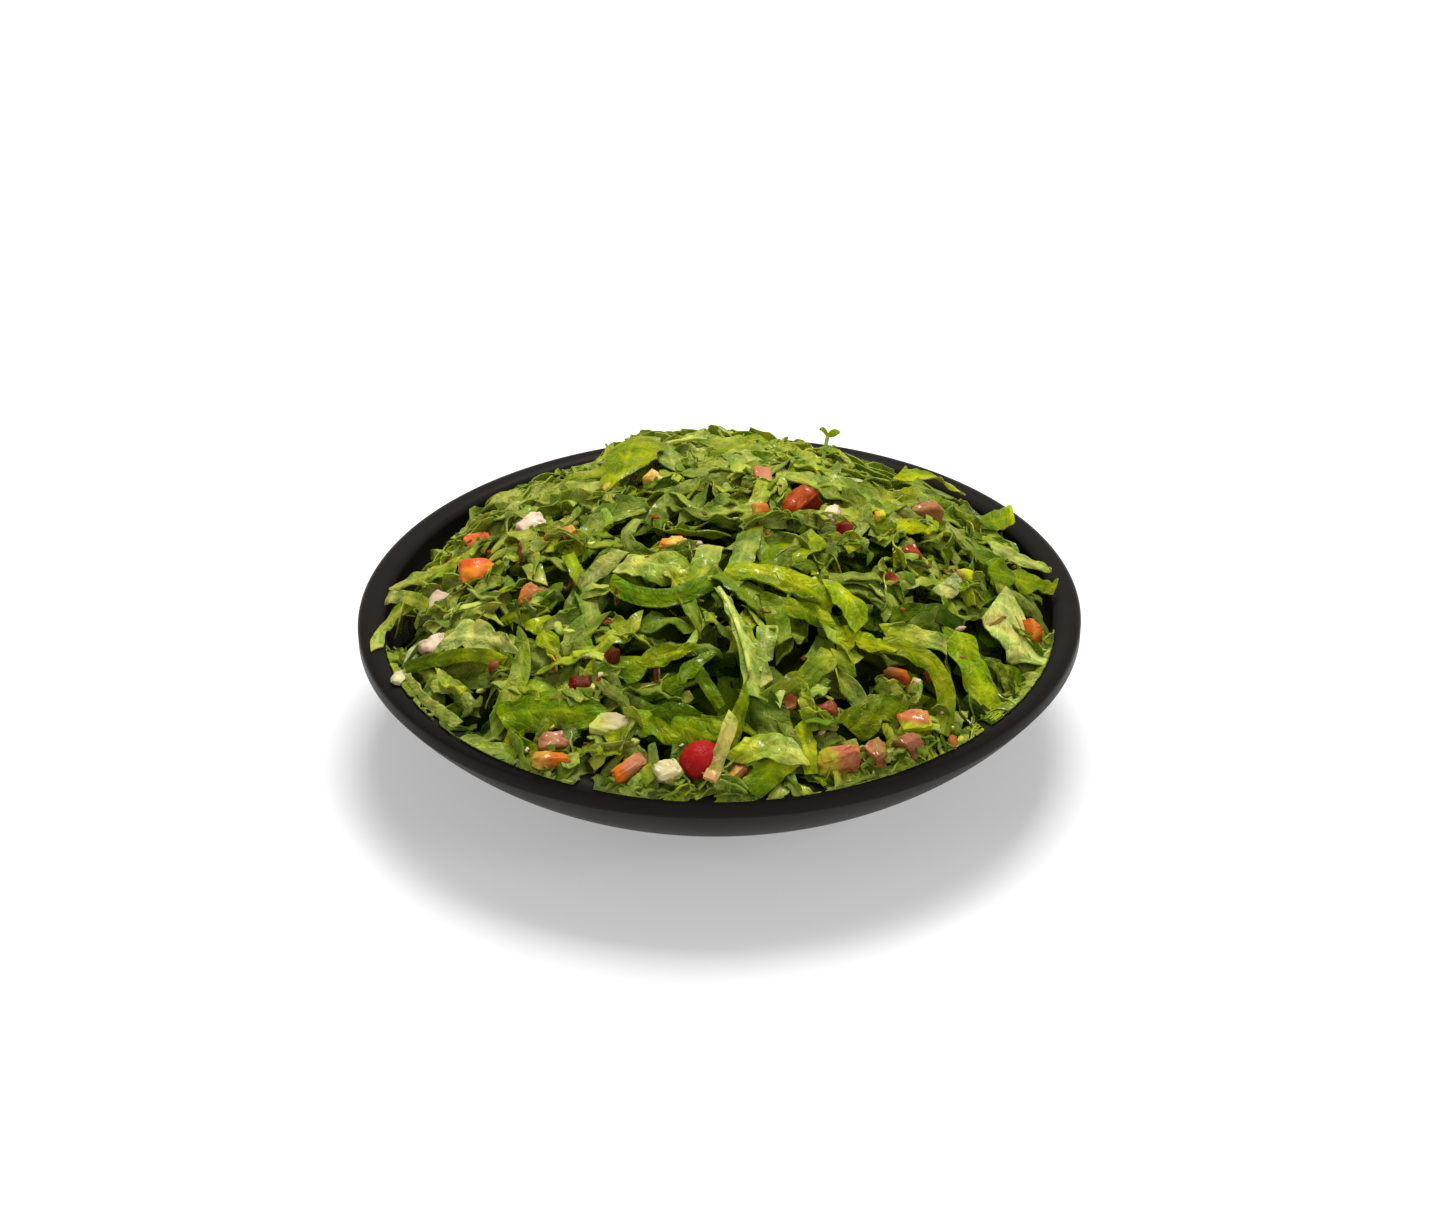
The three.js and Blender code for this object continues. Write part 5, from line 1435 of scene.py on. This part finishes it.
def build_heap():
    """Lays the heap from the core up: broad leaves painted darker as shade, crinkled pieces, small leaves and
    shreds, the leaves over the front lip and round the chunks, the pieces that stand out, and last the
    chopped leaves, skins, ribs, small pieces, sprig and bits."""
    top = TopOfHeap()
    chunks = chunk_places()
    base = Sheets()
    # The lowest leaves get darker tints (bright=0.2) as painted shade under the layers above.
    lay_layer(
        top, base, 250, 11, (20, 36), (10, 16), ("leaf", "shred"), chunks,
        bright=0.2, pale=0.05, roll=(-22, 22), twist=(-20, 20), curl=(-30, 40), wave=(0.5, 1.4),
        arch=(0, 2), sink=0.4, over=-7.0, inside=0.93, grid=(12, 5),
    )
    for x, y, half in chunks:
        disc = rings(x, y, np.array([0.0, 0.5, 0.85]) * half)
        top.raise_to(with_last(disc, mound_z(disc[..., 0], disc[..., 1]) - 1.0))
    crinkled = Sheets()
    lay_layer(
        top, crinkled, 260, 23, (12, 26), (7, 13), ("leaf", "lobed", "tip"), chunks, keep_free=0.01,
        bright=0.42, pale=0.3, roll=(-50, 50), twist=(-50, 50), curl=(-70, 100), wave=(0.9, 2.0),
        wander=(0.3, 0.9), blister=(0.35, 0.7), arch=(0, 3), end_lift=(0, 2), sink=0.8, over=-3.0,
        rest=(-9, -5), inside=0.98, grid=(15, 8),
    )
    small = Sheets()
    lay_layer(
        top, small, 430, 41, (10, 24), (5, 11), ("leaf", "shred", "lobed", "shred", "tip"), chunks,
        keep_free=0.45, bright=0.55, pale=0.4, bow=(-2, 2), roll=(-60, 60), twist=(-60, 60),
        curl=(-80, 110), wave=(0.6, 1.4), wander=(0.2, 0.6), blister=(0.2, 0.6), arch=(0, 2),
        end_lift=(0, 2), sink=0.6, over=-1.2, rest=(-6, -2), inside=0.985, grid=(13, 7),
    )
    shreds = Sheets()
    lay_layer(
        top, shreds, 230, 37, (15, 34), (4.5, 8.5), ("shred", "shred", "tip", "leaf"), chunks, keep_free=0.7,
        bright=0.60, pale=0.4, bow=(-7, 7), roll=(-60, 60), twist=(-80, 80), curl=(-60, 60), wave=(0.4, 1.1),
        wander=(0.3, 1.0), blister=(0, 0.3), arch=(0, 4), end_lift=(0, 3), sink=0.5, over=-0.5,
        rest=(-5, -1.5), inside=0.99, grid=(20, 6),
    )
    lip_leaves = Sheets()
    lay_over_front_lip(top, lip_leaves)
    tuck_in(top, lip_leaves, chunks)
    heroes = lay_standing_out(top)
    chopped = Sheets()
    lay_on_chunks(top, chopped)
    lay_layer(
        top, chopped, 330, 53, (5, 14), (3, 7), ("shred", "leaf", "shred", "tip"), chunks, keep_free=0.75,
        bright=0.58, pale=0.5, roll=(-50, 50), twist=(-60, 60), curl=(-70, 90), wave=(0.3, 0.9),
        blister=(0, 0.3), arch=(0, 1.5), end_lift=(0, 2), sink=0.5, over=0.4, inside=0.99, grid=(9, 5),
    )
    skins = Sheets()
    browns = (RUST, BROWN, CORAL * 0.6, BROWN * 0.6, RUST * 0.6, BROWN)
    rng = np.random.default_rng(61)
    for x, y in spiral_places(60, 104, rng, 6.0):
        heading, length = rng.uniform(0, 2 * math.pi), rng.uniform(3.5, 9)
        step = pointing(heading, length / 2)
        tints = [browns[k] for k in rng.integers(len(browns), size=2)]
        lay_leaf(
            top, skins, np.array([x, y]) - step, np.array([x, y]) + step, rng.uniform(2, 4.5), rng,
            outline=("leaf", "lobed", "tip")[rng.integers(3)], tint=tints, roll=rng.uniform(-50, 50),
            curl=rng.uniform(-60, 90), thick=0.7, wave=0.5, blister=0.3, sink=0.7, over=-0.4, grid=(9, 5),
        )
    ribs = Sheets()
    lay_layer(
        top, ribs, 45, 71, (9, 22), (2, 4.5), ("stalk",), chunks, keep_free=0.9,
        bright=0.9, pale=1.6, bow=(-3, 3), roll=(-30, 30), thick=0.8, rib=0.9, arch=(0, 1.5), sink=0.8,
        over=0.2, inside=0.985, grid=(12, 5),
    )
    kinds = {
        "base_leaves": (base, UNDERLEAF),
        "crinkled_leaves": (crinkled, CRINKLE),
        "small_leaves": (small, CRINKLE),
        "front_lip_leaves": (lip_leaves, CRINKLE),
        "cut_shreds": (shreds, BLADE),
        "chopped_leaves": (chopped, HERB),
        "pale_ribs": (ribs, RIB),
        "standing_leaves": (heroes["blade"], CRINKLE),
        "standing_ribs": (heroes["rib"], RIB),
    }
    for name, (sheets, material) in kinds.items():
        finish_piece(sheets.mesh(name), name, material, "salad", SHARP_EDGE)
    skin_mesh = skins.mesh("tomato_skins")
    finish_piece(skin_mesh, "tomato_skins", TOMATO, "salad", SHARP_EDGE)
    make_small_pieces()
    make_sprig(top)
    reds = [CORAL * 0.7, ORANGE * 0.7, RUST, BROWN, PEACH * 0.8, AMBER * 0.8, RED * 0.6]
    creams = [ONION, CREAMY, PALE]
    scatter_bits(top, "tomato_bits", 45, 81, (1.5, 3.4), reds, TOMATO, chunks)
    scatter_bits(top, "onion_bits", 36, 83, (1.8, 4.2), creams, ONION_FLESH, chunks)


# ---- Scene ----


def make_camera():
    """The photograph's view: from the front, looking down at the middle of the lip's widest line, with a
    slight roll and the small shift that its framing has."""
    elevation, roll = math.radians(30.2), math.radians(0.73)
    distance, focal_px, wide_px = 956.0, 2866.0, 1440.0
    left_px, above_px = 0.9, 10.9
    look = Vector((0, math.cos(elevation), -math.sin(elevation)))
    right, up = Vector((1, 0, 0)), Vector((0, math.sin(elevation), math.cos(elevation)))
    turned_right = right * math.cos(roll) - up * math.sin(roll)
    turned_up = right * math.sin(roll) + up * math.cos(roll)
    target = Vector((0, 0, 46.5))
    data = bpy.data.cameras.new("photo_camera")
    data.sensor_width = 36.0
    data.lens = data.sensor_width * focal_px / wide_px
    data.shift_x, data.shift_y = left_px / wide_px, -above_px / wide_px
    data.clip_start, data.clip_end = 0.05, 20.0
    camera = bpy.data.objects.new("photo_camera", data)
    axes = Matrix((turned_right, turned_up, -look)).transposed()
    camera.matrix_world = Matrix.Translation((target - look * distance) * MM) @ axes.to_4x4()
    bpy.context.scene.collection.objects.link(camera)
    bpy.context.scene.camera = camera


def make_floor():
    """A pale matt table top under the dish."""
    mesh = bpy.data.meshes.new("pale_floor")
    half = 3.0  # metres
    corners = [(-half, -half, 0), (half, -half, 0), (half, half, 0), (-half, half, 0)]
    mesh.from_pydata(corners, [], [(0, 1, 2, 3)])
    material, tree, output = new_material("pale floor")
    paint = place(
        tree,
        "ShaderNodeBsdfPrincipled",
        {
            "Base Color": (0.56, 0.56, 0.56, 1),
            "Roughness": 0.9,
            "Specular IOR Level": 0.0,
            "Emission Color": (1, 1, 1, 1),
            "Emission Strength": 0.36,
        },
    )
    tree.links.new(paint.outputs[0], output.inputs["Surface"])
    mesh.materials.append(material)
    floor = bpy.data.objects.new("pale_floor", mesh)
    bpy.context.scene.collection.objects.link(floor)


def add_light(name, position, size, power):
    """A soft square light at a place in metres, turned to the heap's middle."""
    aim = (0, 0, 0.05)
    data = bpy.data.lights.new(name, "AREA")
    data.size, data.energy = size, power
    light = bpy.data.objects.new(name, data)
    light.location = position
    light.rotation_euler = (Vector(aim) - Vector(position)).to_track_quat("-Z", "Y").to_euler()
    bpy.context.scene.collection.objects.link(light)


def light_scene():
    """A pale room, a strong soft light above the back, a weak one at the front right and a weaker one at the
    front left."""
    world = bpy.data.worlds.new("studio")
    world.use_nodes = True
    world.node_tree.nodes["Background"].inputs["Color"].default_value = (1, 1, 1, 1)
    world.node_tree.nodes["Background"].inputs["Strength"].default_value = 0.35
    bpy.context.scene.world = world
    add_light("overhead", (0.10, 0.42, 1.25), size=0.7, power=25.0)
    add_light("front_right", (0.95, -0.85, 0.85), size=0.4, power=4.0)
    add_light("front_left", (-0.9, -1.0, 1.1), size=0.5, power=2.0)


make_dish()
make_core()
for row, chunk_name in enumerate(CHUNKS):
    make_chunk(chunk_name, row)
build_heap()
make_floor()
light_scene()
make_camera()
bpy.context.scene.view_settings.view_transform = "Standard"
